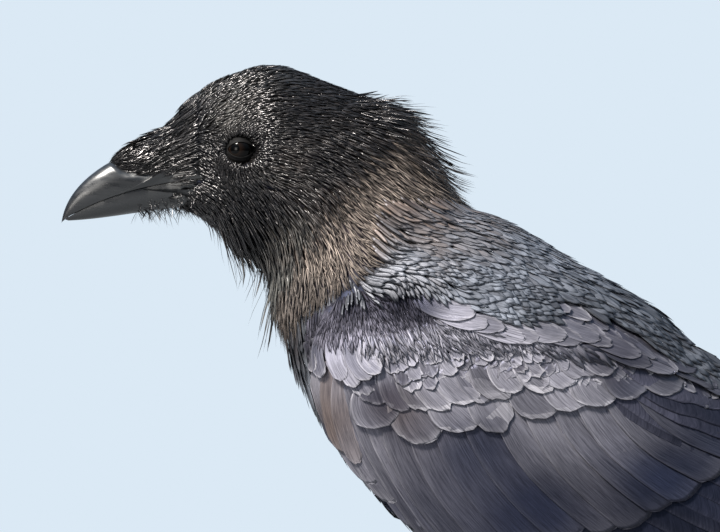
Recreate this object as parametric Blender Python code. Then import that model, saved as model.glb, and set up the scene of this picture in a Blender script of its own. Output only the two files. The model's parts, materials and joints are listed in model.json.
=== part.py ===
"""A common raven, life size, standing in profile with its bill to -Y and its left side to +X.

Every named part of the bird is one closed solid, out to the tips of its feathers.
"""

import math

import bmesh
import bpy
from mathutils import Vector

MM = 0.001
GAP = 0.3 * MM  # between pieces that touch
SIDES = {"left": 1, "right": -1}

# The body from the bristles over the nostrils to the vent, as oval sections in millimetres:
# the upper point (y, z), the lower point (y, z) and half the width.
BODY = {
    "bristle_tip": ((-169.5, 325.5), (-169, 322.5), 1.6),
    "nostril": ((-162, 331.5), (-160.5, 318.5), 7),
    "bill_base": ((-152, 337), (-150, 315), 10.2),
    "lores": ((-142, 341.5), (-142, 306), 12.5),
    "forehead": ((-135, 352), (-132, 302), 17),
    "brow": ((-125.5, 360.5), (-123, 296), 21.5),
    "eye": ((-109.5, 367), (-114, 287), 26.5),
    "crown": ((-93, 370), (-106, 281.5), 29),
    "ear": ((-74.5, 363.5), (-101, 279), 31),
    "hindcrown": ((-55, 356), (-98.5, 276), 33),
    "nape": ((-37.5, 349.5), (-97.5, 270.5), 35.5),
    "hackles": ((-24, 333), (-96.5, 263.5), 38),
    "neck": ((-14.5, 315.5), (-95, 254), 42),
    "neck_base": ((-3, 303), (-90.5, 241), 47),
    "shoulder": ((14.5, 296), (-83.5, 223.5), 53),
    "mantle": ((37, 281.5), (-69, 198), 58),
    "breast": ((60, 268.5), (-42, 164.5), 60),
    "back": ((80.5, 256), (-10, 138), 58),
    "belly": ((100, 236), (27.5, 118.5), 54),
    "flank": ((119, 213), (66.5, 109.5), 48),
    "rump": ((138, 188), (101, 103.5), 41),
    "vent": ((158, 163), (135.5, 96), 34),
}
HEAD_END = 10.0  # in rows of the table above
NECK_END = 12.4
BODY_SIDES = 24
BODY_SQUARENESS = 0.9

# The tail in the same terms, from the vent to the wedge's point.
TAIL = {
    "coverts": ((182, 134), (169, 85), 29),
    "bundle": ((214, 106), (208, 77), 27.5),
    "shafts": ((246, 81), (241, 67.5), 28),
    "vanes": ((281, 58), (278, 49.5), 32),
    "shoulders": ((305, 44.5), (303.5, 38), 27),
    "wedge": ((321, 35), (320, 30.5), 16),
    "tip": ((328.5, 30.5), (328, 28.5), 5),
}

# The folded left wing from the wrist to the primaries' tips: its upper edge (x, y, z), its lower
# edge (x, y, z), how far its face swells out between them, and its thickness.
WING = {
    "wrist": ((43, -77.5, 241), (42, -77.5, 226), 3, 5),
    "bend": ((44, -71, 256.5), (44, -75, 213), 8, 8),
    "marginals": ((44, -59, 267.5), (47, -67.5, 196), 12, 9),
    "lessers": ((41, -37, 276), (49.5, -50, 173), 16, 9),
    "medians": ((37, -5, 278), (50.5, -22, 148), 19, 9),
    "greaters": ((33, 27.5, 270), (50, 18, 122.5), 20, 8),
    "scapulars": ((26, 64, 256), (48, 60, 104), 21, 7.5),
    "tertials": ((17, 101, 238.5), (47.5, 101, 91), 21, 7),
    "secondaries": ((8, 138, 212.5), (46.5, 147, 77.5), 20, 6),
    "inner_primaries": ((8, 175, 173), (45, 190, 66), 14, 5),
    "primaries": ((15, 213, 123), (43, 228, 56), 9, 4),
    "outer_primaries": ((26, 253, 77), (40, 261, 47), 4, 3),
    "wing_tip": ((34, 287, 42), (35, 288, 39), 0.5, 1.6),
}
WING_SIDES = 7
WING_EDGE = 0.3  # thickness left at the wing's edges, as a share of the full one
FEATHER_STEPS = 5  # primary tips that notch the upper edge behind the tertials
STEP_START = 8.0
STEP_DEPTH = 7 * MM

# The bill's three edges in the mid plane, each a cubic Bezier from the base to the tip (y, z).
CULMEN = ((-135.5, 338.5), (-160, 332.5), (-190, 320.5), (-193, 297))
TOMIUM = ((-124, 317), (-145, 315.5), (-165, 312.5), (-191, 298.5))
GONYS = ((-124, 306), (-145, 305.5), (-168, 299), (-189.5, 298))
BILL_HALF_WIDTH = 10.5 * MM
BILL_TIP_HALF_WIDTH = 0.7 * MM
BILL_RINGS = 11
BILL_SIDES = 10

EYE_RADIUS = 6.6 * MM
EYE_PLACE = (20.4 * MM, -109.7 * MM, 330.3 * MM)
SOCKET_PLACE = (28.5 * MM, -109.7 * MM, 330.3 * MM)
SOCKET_RADII = (5 * MM, 9.5 * MM, 7.5 * MM)

HIP = (27 * MM, 4 * MM, 150 * MM)
HOCK = (31 * MM, 37 * MM, 80 * MM)
FOOT = (34 * MM, 12 * MM, 0)
FOOT_HEIGHT = 9 * MM
SHIN_RADIUS = 3.5 * MM
PAD_RADII = (7 * MM, 7 * MM, 6.5 * MM)
THIGH_SIDES = 14
THIGH_RADII = (31 * MM, 30 * MM, 25 * MM, 17.5 * MM, 11 * MM, 7.5 * MM)

# Each toe: heading from straight ahead towards the bird's outer side, length, radius, claw length.
TOES = {
    "inner": (-34, 34, 3.6, 16),
    "middle": (3, 47, 3.9, 18),
    "outer": (33, 37, 3.5, 15),
    "hind": (176, 24, 4.0, 21),
}
TOE_START = 7.5 * MM
TOE_RINGS = 7
TOE_SIDES = 8
CLAW_RISE = 20  # degrees above level where the claw leaves the toe
CLAW_DROP = 52  # degrees below level at its point
CLAW_RINGS = 6
CLAW_SIDES = 7


def new_material(name, colour, roughness):
    material = bpy.data.materials.new(name)
    material.use_nodes = True
    shader = material.node_tree.nodes["Principled BSDF"]
    shader.inputs["Base Color"].default_value = (*colour, 1)
    shader.inputs["Roughness"].default_value = roughness
    material.diffuse_color = (*colour, 1)
    return material


def add_object(name, bm, material):
    """One smooth-shaded object under the bird's empty, made from a closed bmesh."""
    bmesh.ops.recalc_face_normals(bm, faces=bm.faces)
    mesh = bpy.data.meshes.new(name)
    bm.to_mesh(mesh)
    bm.free()
    mesh.shade_smooth()
    mesh.set_sharp_from_angle(angle=math.radians(50))
    mesh.materials.append(material)
    obj = bpy.data.objects.new(name, mesh)
    bpy.context.scene.collection.objects.link(obj)
    obj.parent = bird
    return obj


def loft(name, rings, material):
    """A closed solid through rings of equally many points, its bent quads split one set way."""
    bm = bmesh.new()
    loops = [[bm.verts.new(point) for point in ring] for ring in rings]
    for here, there in zip(loops, loops[1:]):
        for k in range(len(here)):
            bm.faces.new((here[k - 1], here[k], there[k]))
            bm.faces.new((here[k - 1], there[k], there[k - 1]))
    bm.faces.new(loops[0])
    bm.faces.new(loops[-1])
    return add_object(name, bm, material)


def ball(name, place, radii, material, floor=None):
    """An ellipsoid whose underside is pressed flat at the height floor, if one is given."""
    bm = bmesh.new()
    bmesh.ops.create_uvsphere(bm, u_segments=14, v_segments=9, radius=1)
    for vert in bm.verts:
        vert.co = Vector(place) + vert.co * Vector(radii)
        if floor is not None:
            vert.co.z = max(vert.co.z, floor)
    return add_object(name, bm, material)


def hide_as_cutter(obj):
    obj.hide_render = True
    obj.display_type = "WIRE"
    return obj


def cut(obj, cutter, operation="DIFFERENCE"):
    modifier = obj.modifiers.new(cutter.name, "BOOLEAN")
    modifier.operation = operation
    modifier.object = cutter


def flat_rows(table):
    """The table's rows, each as one vector in metres."""
    rows = []
    for row in table.values():
        numbers = []
        for entry in row:
            numbers += entry if isinstance(entry, tuple) else (entry,)
        rows.append(Vector(numbers) * MM)
    return rows


def spline(rows, place):
    """The Catmull-Rom curve through the rows, one row to each whole number of place."""
    last = len(rows) - 1
    i = min(int(place), last - 1)
    t = place - i
    before, start, end, after = rows[max(i - 1, 0)], rows[i], rows[i + 1], rows[min(i + 2, last)]
    slope_in = (end - before) / 2
    slope_out = (after - start) / 2
    return (
        start * (2 * t**3 - 3 * t**2 + 1)
        + slope_in * (t**3 - 2 * t**2 + t)
        + end * (3 * t**2 - 2 * t**3)
        + slope_out * (t**3 - t**2)
    )


def bezier(points, t):
    p0, p1, p2, p3 = (Vector(point) * MM for point in points)
    return p0 * (1 - t) ** 3 + p1 * 3 * t * (1 - t) ** 2 + p2 * 3 * t**2 * (1 - t) + p3 * t**3


def steps(first, last, count):
    return [first + (last - first) * k / (count - 1) for k in range(count)]


def power(value, exponent):
    return math.copysign(abs(value) ** exponent, value)


def oval(row, grow=0.0):
    """One section of the body or the tail, which grow widens all round."""
    top_y, top_z, low_y, low_z, half_width = row
    top, low = Vector((0, top_y, top_z)), Vector((0, low_y, low_z))
    middle, up = (top + low) / 2, (top - low) / 2
    up *= 1 + grow / up.length
    ring = []
    for k in range(BODY_SIDES):
        angle = 2 * math.pi * k / BODY_SIDES
        across = (half_width + grow) * power(math.cos(angle), BODY_SQUARENESS)
        ring.append(middle + up * power(math.sin(angle), BODY_SQUARENESS) + Vector((across, 0, 0)))
    return ring


def body_loft(name, rows, first, last, count, material, grow=0.0):
    return loft(name, [oval(spline(rows, place), grow) for place in steps(first, last, count)], material)


def wing_ring(rows, place, side, grow):
    """One section of a wing: its face from the upper to the lower edge, then its inner side back."""
    row = spline(rows, place)
    top, low, swell, thickness = Vector(row[0:3]), Vector(row[3:6]), row[6], row[7]
    if place > STEP_START:
        share = (place - STEP_START) / (len(rows) - 1 - STEP_START)
        notch = share * FEATHER_STEPS % 1.0
        top += (low - top).normalized() * STEP_DEPTH * notch * (1 - share)
    middle = (top + low) / 2
    middle.x = 0
    edge = (top - low).normalized() * grow
    top, low = top + edge, low - edge
    outer, inner = [], []
    for v in steps(0, 1, WING_SIDES):
        arch = math.sin(math.pi * v)
        point = top.lerp(low, v) + Vector((swell * arch**0.8, 0, 0))
        inward = (middle - point).normalized()
        depth = thickness * (WING_EDGE + (1 - WING_EDGE) * arch)
        outer.append(point - inward * grow)
        inner.append(point + inward * (depth + grow))
    ring = outer + inner[::-1]
    return [Vector((point.x * side, point.y, point.z)) for point in ring]


def wing(name, side, material, grow=0.0):
    rows = flat_rows(WING)
    count = 2 * len(rows) + 1
    rings = [wing_ring(rows, place, side, grow) for place in steps(0, len(rows) - 1, count)]
    if grow:
        rings[0] = [point - Vector((0, grow, 0)) for point in rings[0]]
        rings[-1] = [point + Vector((0, grow, 0)) for point in rings[-1]]
    return loft(name, rings, material)


def bill_half(name, far_edge, material):
    """The part of the bill between the mouth's line and the culmen or the gonys."""
    rings = []
    for t in steps(0, 1, BILL_RINGS):
        mouth, far = bezier(TOMIUM, t), bezier(far_edge, t)
        away = (far - mouth).normalized()
        mouth += away * GAP / 2
        half_width = BILL_HALF_WIDTH + (BILL_TIP_HALF_WIDTH - BILL_HALF_WIDTH) * t**1.25
        ring = []
        for angle in steps(0, math.pi, BILL_SIDES):
            y, z = mouth.lerp(far, math.sin(angle) ** 0.85)
            ring.append(Vector((half_width * power(math.cos(angle), 0.8), y, z)))
        rings.append(ring)
    return loft(name, rings, material)


def tube_ring(centre, forward, radius, sides, across=Vector((1, 0, 0)), floor=None):
    """A round section square to forward, pressed flat at the height floor if one is given."""
    side = across - forward * across.dot(forward)
    side.normalize()
    up = side.cross(forward)
    ring = []
    for k in range(sides):
        angle = 2 * math.pi * (k + 0.5) / sides
        point = centre + (side * math.cos(angle) + up * math.sin(angle)) * radius
        if floor is not None:
            point.z = max(point.z, floor)
        ring.append(point)
    return ring


def leg_path(side):
    """The bare leg's middle line: a short stub up the thigh, the hock, then down to the foot."""
    hip, hock = Vector(HIP), Vector(HOCK)
    foot = Vector(FOOT) + Vector((0, 0, FOOT_HEIGHT))
    stub = hock + (hip - hock).normalized() * 12 * MM
    bend = hock + (hip - hock).normalized() * 4 * MM
    down = [hock.lerp(foot, share) for share in (0.06, 0.2, 0.4, 0.6, 0.8, 1.0)]
    return [Vector((point.x * side, point.y, point.z)) for point in [stub, bend, *down]]


def shin(name, side, material, grow=0.0):
    path = leg_path(side)
    swell = (1.1, 1.45, 1.4, 1.08, 0.95, 0.95, 1.05, 1.4)  # widest at the hock and at the foot
    rings = []
    for k, point in enumerate(path):
        forward = (path[min(k + 1, len(path) - 1)] - path[max(k - 1, 0)]).normalized()
        rings.append(tube_ring(point, forward, SHIN_RADIUS * swell[k] + grow, 12))
    return loft(name, rings, material)


def thigh(name, side, material):
    hip, hock = Vector(HIP), Vector(HOCK)
    hip.x *= side
    hock.x *= side
    forward = (hock - hip).normalized()
    end = hock + forward * 2 * MM
    rings = []
    for k, radius in enumerate(THIGH_RADII):
        centre = hip.lerp(end, k / (len(THIGH_RADII) - 1))
        rings.append(tube_ring(centre, forward, radius, THIGH_SIDES))
    return loft(name, rings, material)


def toe_direction(heading, side):
    angle = math.radians(heading)
    return Vector((math.sin(angle) * side, -math.cos(angle), 0))


def toe(name, heading, length, radius, side, material, grow=0.0):
    """A toe lying along the floor, thicker over its pads, its sole a flat."""
    forward = toe_direction(heading, side)
    across = Vector((-forward.y, forward.x, 0))
    foot = Vector((FOOT[0] * side, FOOT[1], 0))
    start, length = foot + forward * TOE_START, length * MM
    joints = max(2, round(length / (13 * MM)))
    rings = []
    for share in steps(0, 1, TOE_RINGS):
        pad = 1 + 0.09 * math.cos(2 * math.pi * joints * share)
        taper = (1 - 0.22 * share) * (0.86 if share == 1 else 1)
        size = radius * MM * pad * taper + grow
        centre = start + forward * (length * share)
        centre.z = radius * MM * 0.86 * taper
        if grow and share in (0, 1):
            centre += forward * (grow if share else -grow)
        rings.append(tube_ring(centre, forward, size, TOE_SIDES, across, -grow))
    return loft(name, rings, material)


def claw(name, heading, toe_length, radius, length, side, material):
    """A curved claw that leaves the toe's end a little upwards and points down at its tip."""
    forward = toe_direction(heading, side)
    across = Vector((-forward.y, forward.x, 0))
    base = radius * MM * 0.66
    rise, drop = math.radians(CLAW_RISE), math.radians(CLAW_DROP)
    bend = length * MM / (rise + drop)
    foot = Vector((FOOT[0] * side, FOOT[1], 0))
    start = foot + forward * (TOE_START + toe_length * MM + GAP + base * math.sin(rise))
    start.z = bend * (math.cos(rise) - math.cos(drop)) + 0.8 * MM
    rings = []
    for share in steps(0, 1, CLAW_RINGS):
        slope = rise - (rise + drop) * share
        along = bend * (math.sin(rise) - math.sin(slope))
        height = bend * (math.cos(slope) - math.cos(rise))
        centre = start + forward * along + Vector((0, 0, height))
        heading_now = forward * math.cos(slope) + Vector((0, 0, math.sin(slope)))
        size = base * (1 - share) ** 0.75 + 0.3 * MM
        rings.append(tube_ring(centre, heading_now, size, CLAW_SIDES, across))
    return loft(name, rings, material)


def make_trunk_and_head():
    rows = flat_rows(BODY)
    last = len(rows) - 1
    gap = 0.02  # in rows, which leaves about the gap at the narrow end of each cut
    head = body_loft("head", rows, 0, HEAD_END - gap, 19, plumage)
    body_loft("neck", rows, HEAD_END + gap, NECK_END - gap, 6, plumage)
    trunk = body_loft("trunk", rows, NECK_END + gap, last, 16, plumage)
    trunk_room = hide_as_cutter(body_loft("trunk_room", rows, NECK_END, last, 16, plumage, GAP))
    head_room = hide_as_cutter(body_loft("head_room", rows, 0, HEAD_END, 19, plumage, GAP))
    tail_rows = [rows[last], *flat_rows(TAIL)]
    tail = body_loft("tail", tail_rows, 0.02, len(tail_rows) - 1, 12, plumage)
    return head, head_room, trunk, trunk_room, tail


def make_bill(head_room):
    for name, edge in (("bill_upper", CULMEN), ("bill_lower", GONYS)):
        cut(bill_half(name, edge, horn), head_room)


def make_eye(label, side, head):
    place = Vector((EYE_PLACE[0] * side, EYE_PLACE[1], EYE_PLACE[2]))
    socket_place = Vector((SOCKET_PLACE[0] * side, SOCKET_PLACE[1], SOCKET_PLACE[2]))
    ball("eye_" + label, place, (EYE_RADIUS,) * 3, iris)
    room = ball("eye_room_" + label, place, (EYE_RADIUS + GAP,) * 3, iris)
    socket = ball("eye_socket_" + label, socket_place, SOCKET_RADII, iris)
    cut(head, hide_as_cutter(room))
    cut(head, hide_as_cutter(socket))


def make_wing(label, side, trunk, tail):
    wing("wing_" + label, side, plumage)
    room = hide_as_cutter(wing("wing_room_" + label, side, plumage, GAP))
    cut(trunk, room)
    cut(tail, room)
    return room


def make_leg(label, side, trunk_room, wing_room):
    foot = Vector((FOOT[0] * side, FOOT[1], FOOT_HEIGHT * 0.6))
    upper = thigh("thigh_" + label, side, plumage)
    lower = shin("shank_" + label, side, scutes)
    pad = ball("foot_pad_" + label, foot, PAD_RADII, scutes, floor=0)
    cut(lower, hide_as_cutter(pad), "UNION")
    room = hide_as_cutter(shin("shank_room_" + label, side, scutes, GAP))
    for cutter in (trunk_room, wing_room, room):
        cut(upper, cutter)
    toes, rooms = {}, {}
    for toe_name, (heading, length, radius, claw_length) in TOES.items():
        tag = label + "_" + toe_name
        toes[toe_name] = toe("toe_" + tag, heading, length, radius, side, scutes)
        toe_room = toe("toe_room_" + tag, heading, length, radius, side, scutes, GAP)
        rooms[toe_name] = hide_as_cutter(toe_room)
        cut(lower, toe_room)
        claw("claw_" + tag, heading, length, radius, claw_length, side, horn)
    cut(toes["inner"], rooms["middle"])
    cut(toes["outer"], rooms["middle"])


def set_on_origin():
    """Shifts the whole bird so that the middle of its length is over the origin."""
    graph = bpy.context.evaluated_depsgraph_get()
    reach = []
    for obj in bird.children:
        if obj.hide_render:
            continue
        mesh = obj.evaluated_get(graph).to_mesh()
        reach += [vert.co.y for vert in mesh.vertices]
    bird.location.y = -(min(reach) + max(reach)) / 2


for old in list(bpy.data.objects):
    bpy.data.objects.remove(old)

bird = bpy.data.objects.new("bird", None)
bpy.context.scene.collection.objects.link(bird)

plumage = new_material("plumage", (0.018, 0.016, 0.02), 0.45)
horn = new_material("horn", (0.03, 0.032, 0.036), 0.35)
scutes = new_material("scutes", (0.02, 0.02, 0.021), 0.5)
iris = new_material("iris", (0.02, 0.012, 0.008), 0.1)

head, head_room, trunk, trunk_room, tail = make_trunk_and_head()
make_bill(head_room)
for label, side in SIDES.items():
    make_eye(label, side, head)
    wing_room = make_wing(label, side, trunk, tail)
    make_leg(label, side, trunk_room, wing_room)
set_on_origin()
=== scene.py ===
import json
import math

import bpy
import numpy as np
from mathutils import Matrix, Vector, noise
from mathutils.bvhtree import BVHTree

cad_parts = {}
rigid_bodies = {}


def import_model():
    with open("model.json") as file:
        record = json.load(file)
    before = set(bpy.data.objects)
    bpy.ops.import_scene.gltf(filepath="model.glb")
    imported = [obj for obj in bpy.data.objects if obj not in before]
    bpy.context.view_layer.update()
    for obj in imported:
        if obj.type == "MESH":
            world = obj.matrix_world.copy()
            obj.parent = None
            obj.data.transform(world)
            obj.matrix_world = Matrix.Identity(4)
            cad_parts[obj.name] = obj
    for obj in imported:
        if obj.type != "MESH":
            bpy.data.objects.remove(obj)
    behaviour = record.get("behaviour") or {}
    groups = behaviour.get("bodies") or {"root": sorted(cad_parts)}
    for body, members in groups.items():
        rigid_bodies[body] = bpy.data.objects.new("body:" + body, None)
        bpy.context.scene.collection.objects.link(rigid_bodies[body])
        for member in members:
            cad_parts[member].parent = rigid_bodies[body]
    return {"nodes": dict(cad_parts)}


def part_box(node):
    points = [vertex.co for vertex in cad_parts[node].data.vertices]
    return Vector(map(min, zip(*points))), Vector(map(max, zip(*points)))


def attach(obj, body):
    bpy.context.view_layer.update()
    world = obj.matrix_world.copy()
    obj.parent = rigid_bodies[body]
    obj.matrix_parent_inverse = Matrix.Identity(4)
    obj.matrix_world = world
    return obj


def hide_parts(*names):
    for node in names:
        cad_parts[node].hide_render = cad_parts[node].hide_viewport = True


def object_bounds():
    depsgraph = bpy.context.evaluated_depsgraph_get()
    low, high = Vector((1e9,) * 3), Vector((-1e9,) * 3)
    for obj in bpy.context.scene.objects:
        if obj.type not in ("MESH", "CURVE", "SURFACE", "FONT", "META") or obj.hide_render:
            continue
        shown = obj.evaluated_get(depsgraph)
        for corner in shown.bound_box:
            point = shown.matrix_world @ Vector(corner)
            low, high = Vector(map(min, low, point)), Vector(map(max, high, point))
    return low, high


for leftover in list(bpy.data.objects):
    bpy.data.objects.remove(leftover)
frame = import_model()
cadLow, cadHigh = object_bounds()
mm = 0.001
weldGap = 0.00001  # points nearer than this are one, in metres
signs = {"left": 1, "right": -1}  # of X on the bird's two sides
print("frame loaded")


def linearColour(hexCode):
    shares = [int(hexCode[k : k + 2], 16) / 255 for k in (1, 3, 5)]
    return [s / 12.92 if s <= 0.04045 else ((s + 0.055) / 1.055) ** 2.4 for s in shares] + [1.0]


def addNode(tree, kind, settings=None, links=None):
    node = tree.nodes.new(kind)
    for name, value in (settings or {}).items():
        if isinstance(name, int) or name in node.inputs:
            node.inputs[name].default_value = value
        else:
            setattr(node, name, value)
    for name, source in (links or {}).items():
        tree.links.new(source, node.inputs[name])
    return node


def newMaterial(name, shaderSettings):
    material = bpy.data.materials.new(name)
    material.use_nodes = True
    shader = material.node_tree.nodes["Principled BSDF"]
    for socket, value in shaderSettings.items():
        shader.inputs[socket].default_value = value
    return material, material.node_tree, shader


def plumageMaterial(name, colours, roughness, gloss, barbs, sheen=0.0):
    # colours: of a fresh vane, a worn one, the painted silvery sheen (a painted highlight), the pale rim
    # (partly the fringe's own colour, partly a painted edge highlight) and the gloss
    # barbs: spacing across the vane, run along it (both in mm), slant, depth of the grooves in mm
    black, worn, paintedSheenColour, pale, tint = (linearColour(c) for c in colours)
    material, tree, shader = newMaterial(name, {
        "IOR": 1.56,  # keratin
        "Specular IOR Level": gloss,
        "Specular Tint": tint,
        "Sheen Weight": sheen,
        "Sheen Roughness": 0.4,
        "Sheen Tint": worn,
    })
    look = addNode(tree, "ShaderNodeAttribute", {"attribute_name": "Look"})
    parts = addNode(tree, "ShaderNodeSeparateColor", None, {"Color": look.outputs["Color"]})
    spread = addNode(tree, "ShaderNodeMix", {"data_type": "RGBA", 6: black, 7: worn},
                     {0: parts.outputs["Red"]})
    shade = addNode(tree, "ShaderNodeMath", {"operation": "MULTIPLY_ADD", 1: 1.3, 2: 0.35},
                    {0: parts.outputs["Green"]})
    tone = addNode(tree, "ShaderNodeVectorMath", {"operation": "SCALE"},
                   {0: spread.outputs[2], "Scale": shade.outputs[0]})
    # painted highlight: a silvery sheen mixed into the colour as far as the Look attribute's alpha says
    paintedSheen = addNode(tree, "ShaderNodeMix", {"data_type": "RGBA", 7: paintedSheenColour},
                    {0: look.outputs["Alpha"], 6: tone.outputs[0]})
    # the pale rim: partly the fringe's own paler colour, partly a painted highlight on the edge
    rim = addNode(tree, "ShaderNodeMix", {"data_type": "RGBA", 7: pale},
                  {0: parts.outputs["Blue"], 6: paintedSheen.outputs[2]})
    # barbs run from the shaft outwards and towards the tip, here a little coarser than real ones
    spacing, run, slant, depth = barbs
    vane = addNode(tree, "ShaderNodeUVMap", {"uv_map": "Vane"})
    axes = addNode(tree, "ShaderNodeSeparateXYZ", None, {0: vane.outputs[0]})
    across = addNode(tree, "ShaderNodeMath", {"operation": "ABSOLUTE"}, {0: axes.outputs[0]})
    fine = addNode(tree, "ShaderNodeMath", {"operation": "MULTIPLY_ADD", 1: -slant},
                   {0: axes.outputs[1], 2: across.outputs[0]})
    long = addNode(tree, "ShaderNodeMath", {"operation": "MULTIPLY_ADD", 1: slant},
                   {0: across.outputs[0], 2: axes.outputs[1]})
    barb = addNode(tree, "ShaderNodeCombineXYZ", None, {
        "X": fine.outputs[0], "Y": long.outputs[0], "Z": parts.outputs["Green"]})
    scaled = addNode(tree, "ShaderNodeVectorMath", {
        "operation": "MULTIPLY", 1: (1 / (spacing * mm), 1 / (run * mm), 23)}, {0: barb.outputs[0]})
    streaks = addNode(tree, "ShaderNodeTexNoise", {"Scale": 1.0, "Detail": 3.0, "Roughness": 0.65},
                      {"Vector": scaled.outputs[0]})
    groove = addNode(tree, "ShaderNodeMath", {"operation": "MULTIPLY_ADD", 1: 2.8, 2: -0.4},
                     {0: streaks.outputs[0]})
    striped = addNode(tree, "ShaderNodeVectorMath", {"operation": "SCALE"},
                      {0: rim.outputs[2], "Scale": groove.outputs[0]})
    tree.links.new(striped.outputs[0], shader.inputs["Base Color"])
    dull = addNode(tree, "ShaderNodeMath", {"operation": "MULTIPLY_ADD", 1: 0.25, 2: roughness - 0.12},
                   {0: streaks.outputs[0]})
    tree.links.new(dull.outputs[0], shader.inputs["Roughness"])
    bump = addNode(tree, "ShaderNodeBump", {"Strength": 1.0, "Distance": depth * mm},
                   {"Height": streaks.outputs[0]})
    tree.links.new(bump.outputs[0], shader.inputs["Normal"])
    return material


def grainedMaterial(name, shaderSettings, grain, bump, tones=(), dull=None, stretch=None):
    # Fine grain in the piece's own space: it raises bumps (strength, depth in mm), and lies between
    # two tones. dull: how far it changes the roughness, and from what; stretch: draws it into lines.
    material, tree, shader = newMaterial(name, shaderSettings)
    place = addNode(tree, "ShaderNodeTexCoord").outputs["Object"]
    if stretch:
        place = addNode(tree, "ShaderNodeMapping", stretch, {"Vector": place}).outputs[0]
    specks = addNode(tree, "ShaderNodeTexNoise", grain, {"Vector": place}).outputs[0]
    raised = addNode(tree, "ShaderNodeBump", {"Strength": bump[0], "Distance": bump[1] * mm},
                     {"Height": specks})
    tree.links.new(raised.outputs[0], shader.inputs["Normal"])
    if tones:
        dark, light = (linearColour(c) for c in tones)
        tone = addNode(tree, "ShaderNodeMix", {"data_type": "RGBA", 6: dark, 7: light}, {0: specks})
        tree.links.new(tone.outputs[2], shader.inputs["Base Color"])
    if dull:
        rough = addNode(tree, "ShaderNodeMath", {"operation": "MULTIPLY_ADD", 1: dull[0], 2: dull[1]},
                        {0: specks})
        tree.links.new(rough.outputs[0], shader.inputs["Roughness"])
    return material


# Feathers are keratin vanes: black and glossy where whole, brown and dull where worn. A silvery sheen is
# painted into their colour on the back, wings, breast and brow, a painted highlight; it is the third colour
# of each below. On the head they are short and dense, and give small hard glints.
headPlumage = plumageMaterial(
    "glossy_black_head_feathers", ("#08080a", "#38302b", "#85847f", "#6a645e", "#faf5f6"),
    roughness=0.24, gloss=0.65, barbs=(0.5, 4, 0, 0.05))
# broad contour feathers with a soft steel-blue gloss
contourPlumage = plumageMaterial(
    "glossy_black_body_feathers", ("#101014", "#5a4c42", "#8a8f9a", "#a9afb8", "#e6e8f4"),
    roughness=0.42, gloss=0.5, barbs=(0.5, 6, 0, 0.14))
# loose plush with frayed brown tips, matt
neckPlumage = plumageMaterial(
    "worn_brown_neck_plush", ("#302a27", "#8d8178", "#8f8782", "#94877e", "#efe4dc"),
    roughness=0.6, gloss=0.35, barbs=(0.5, 5, 0, 0.05), sheen=0.25)
# soft fans of long barbs, with a lilac satin gloss
covertPlumage = plumageMaterial(
    "lilac_glossed_coverts", ("#0e111c", "#54483e", "#86848c", "#b6b3b8", "#c6c9f0"),
    roughness=0.40, gloss=0.50, barbs=(0.5, 12, 0, 0.16))
# tiny upright tufts that swallow the light
velvetPlumage = plumageMaterial(
    "slate_velvet_coverts", ("#13141c", "#4b3e36", "#8d8a97", "#9a97a2", "#ccc8ea"),
    roughness=0.6, gloss=0.25, barbs=(0.4, 6, 0, 0.06), sheen=0.1)
# stiff flat vanes with slanting barbs, lilac where the light grazes them
flightPlumage = plumageMaterial(
    "lilac_glossed_flight_feathers", ("#0c0e17", "#493d35", "#686776", "#82808e", "#b4c0ee"),
    roughness=0.44, gloss=0.36, barbs=(0.6, 14, 0.9, 0.10))


# the bird's own form, joined from the flesh nodes
bodyNodes = ["head", "neck", "trunk", "tail", "thigh_left", "thigh_right"]
wingNodes = ["wing_left", "wing_right"]
formShape = {"bodyVoxel": 1.7, "wholeVoxel": 1.6, "smoothing": 6}  # voxels in mm
sideRays = {"start": 0.3, "missed": 0.045}  # metres out from the middle: where the rays to a wing
# start, and where the nearest point is looked for when one misses


def selectOnly(piece):
    if bpy.context.mode != "OBJECT":
        bpy.ops.object.mode_set(mode="OBJECT")
    bpy.ops.object.select_all(action="DESELECT")
    piece.select_set(True)
    bpy.context.view_layer.objects.active = piece


def editWhole(piece, tool, **settings):
    # runs a mesh tool on all of the piece
    selectOnly(piece)
    bpy.ops.object.mode_set(mode="EDIT")
    bpy.ops.mesh.select_all(action="SELECT")
    tool(**settings)
    bpy.ops.object.mode_set(mode="OBJECT")


def joinedCopy(name, nodeNames):
    copies = []
    for nodeName in nodeNames:
        twin = bpy.data.objects.new(name, frame["nodes"][nodeName].data.copy())
        bpy.context.scene.collection.objects.link(twin)
        copies.append(twin)
    selectOnly(copies[0])
    for twin in copies:
        twin.select_set(True)
    bpy.ops.object.join()
    piece = bpy.context.view_layer.objects.active
    piece.name = name
    piece.data.materials.clear()
    editWhole(piece, bpy.ops.mesh.remove_doubles, threshold=weldGap)
    return piece


def applyModifier(piece, kind, **settings):
    selectOnly(piece)
    modifier = piece.modifiers.new(kind.lower(), kind)
    for name, value in settings.items():
        setattr(modifier, name, value)
    bpy.ops.object.modifier_apply(modifier=modifier.name)


def pointsOf(mesh):
    flat = np.empty(len(mesh.vertices) * 3, np.float32)
    mesh.vertices.foreach_get("co", flat)
    return flat.reshape(-1, 3).astype(float)


def normalsOf(mesh):
    flat = np.empty(len(mesh.vertices) * 3, np.float32)
    mesh.vertices.foreach_get("normal", flat)
    return flat.reshape(-1, 3).astype(float)


def movePoints(mesh, points):
    mesh.vertices.foreach_set("co", points.astype(np.float32).ravel())
    mesh.update()


def unit(vectors):
    return vectors / np.maximum(np.linalg.norm(vectors, axis=-1, keepdims=True), 1e-12)


def smoothForm(name, nodeNames, voxel, smoothing):
    piece = joinedCopy(name, nodeNames)
    applyModifier(piece, "REMESH", mode="VOXEL", voxel_size=voxel * mm)
    applyModifier(piece, "SMOOTH", factor=0.5, iterations=smoothing)
    return piece


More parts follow.
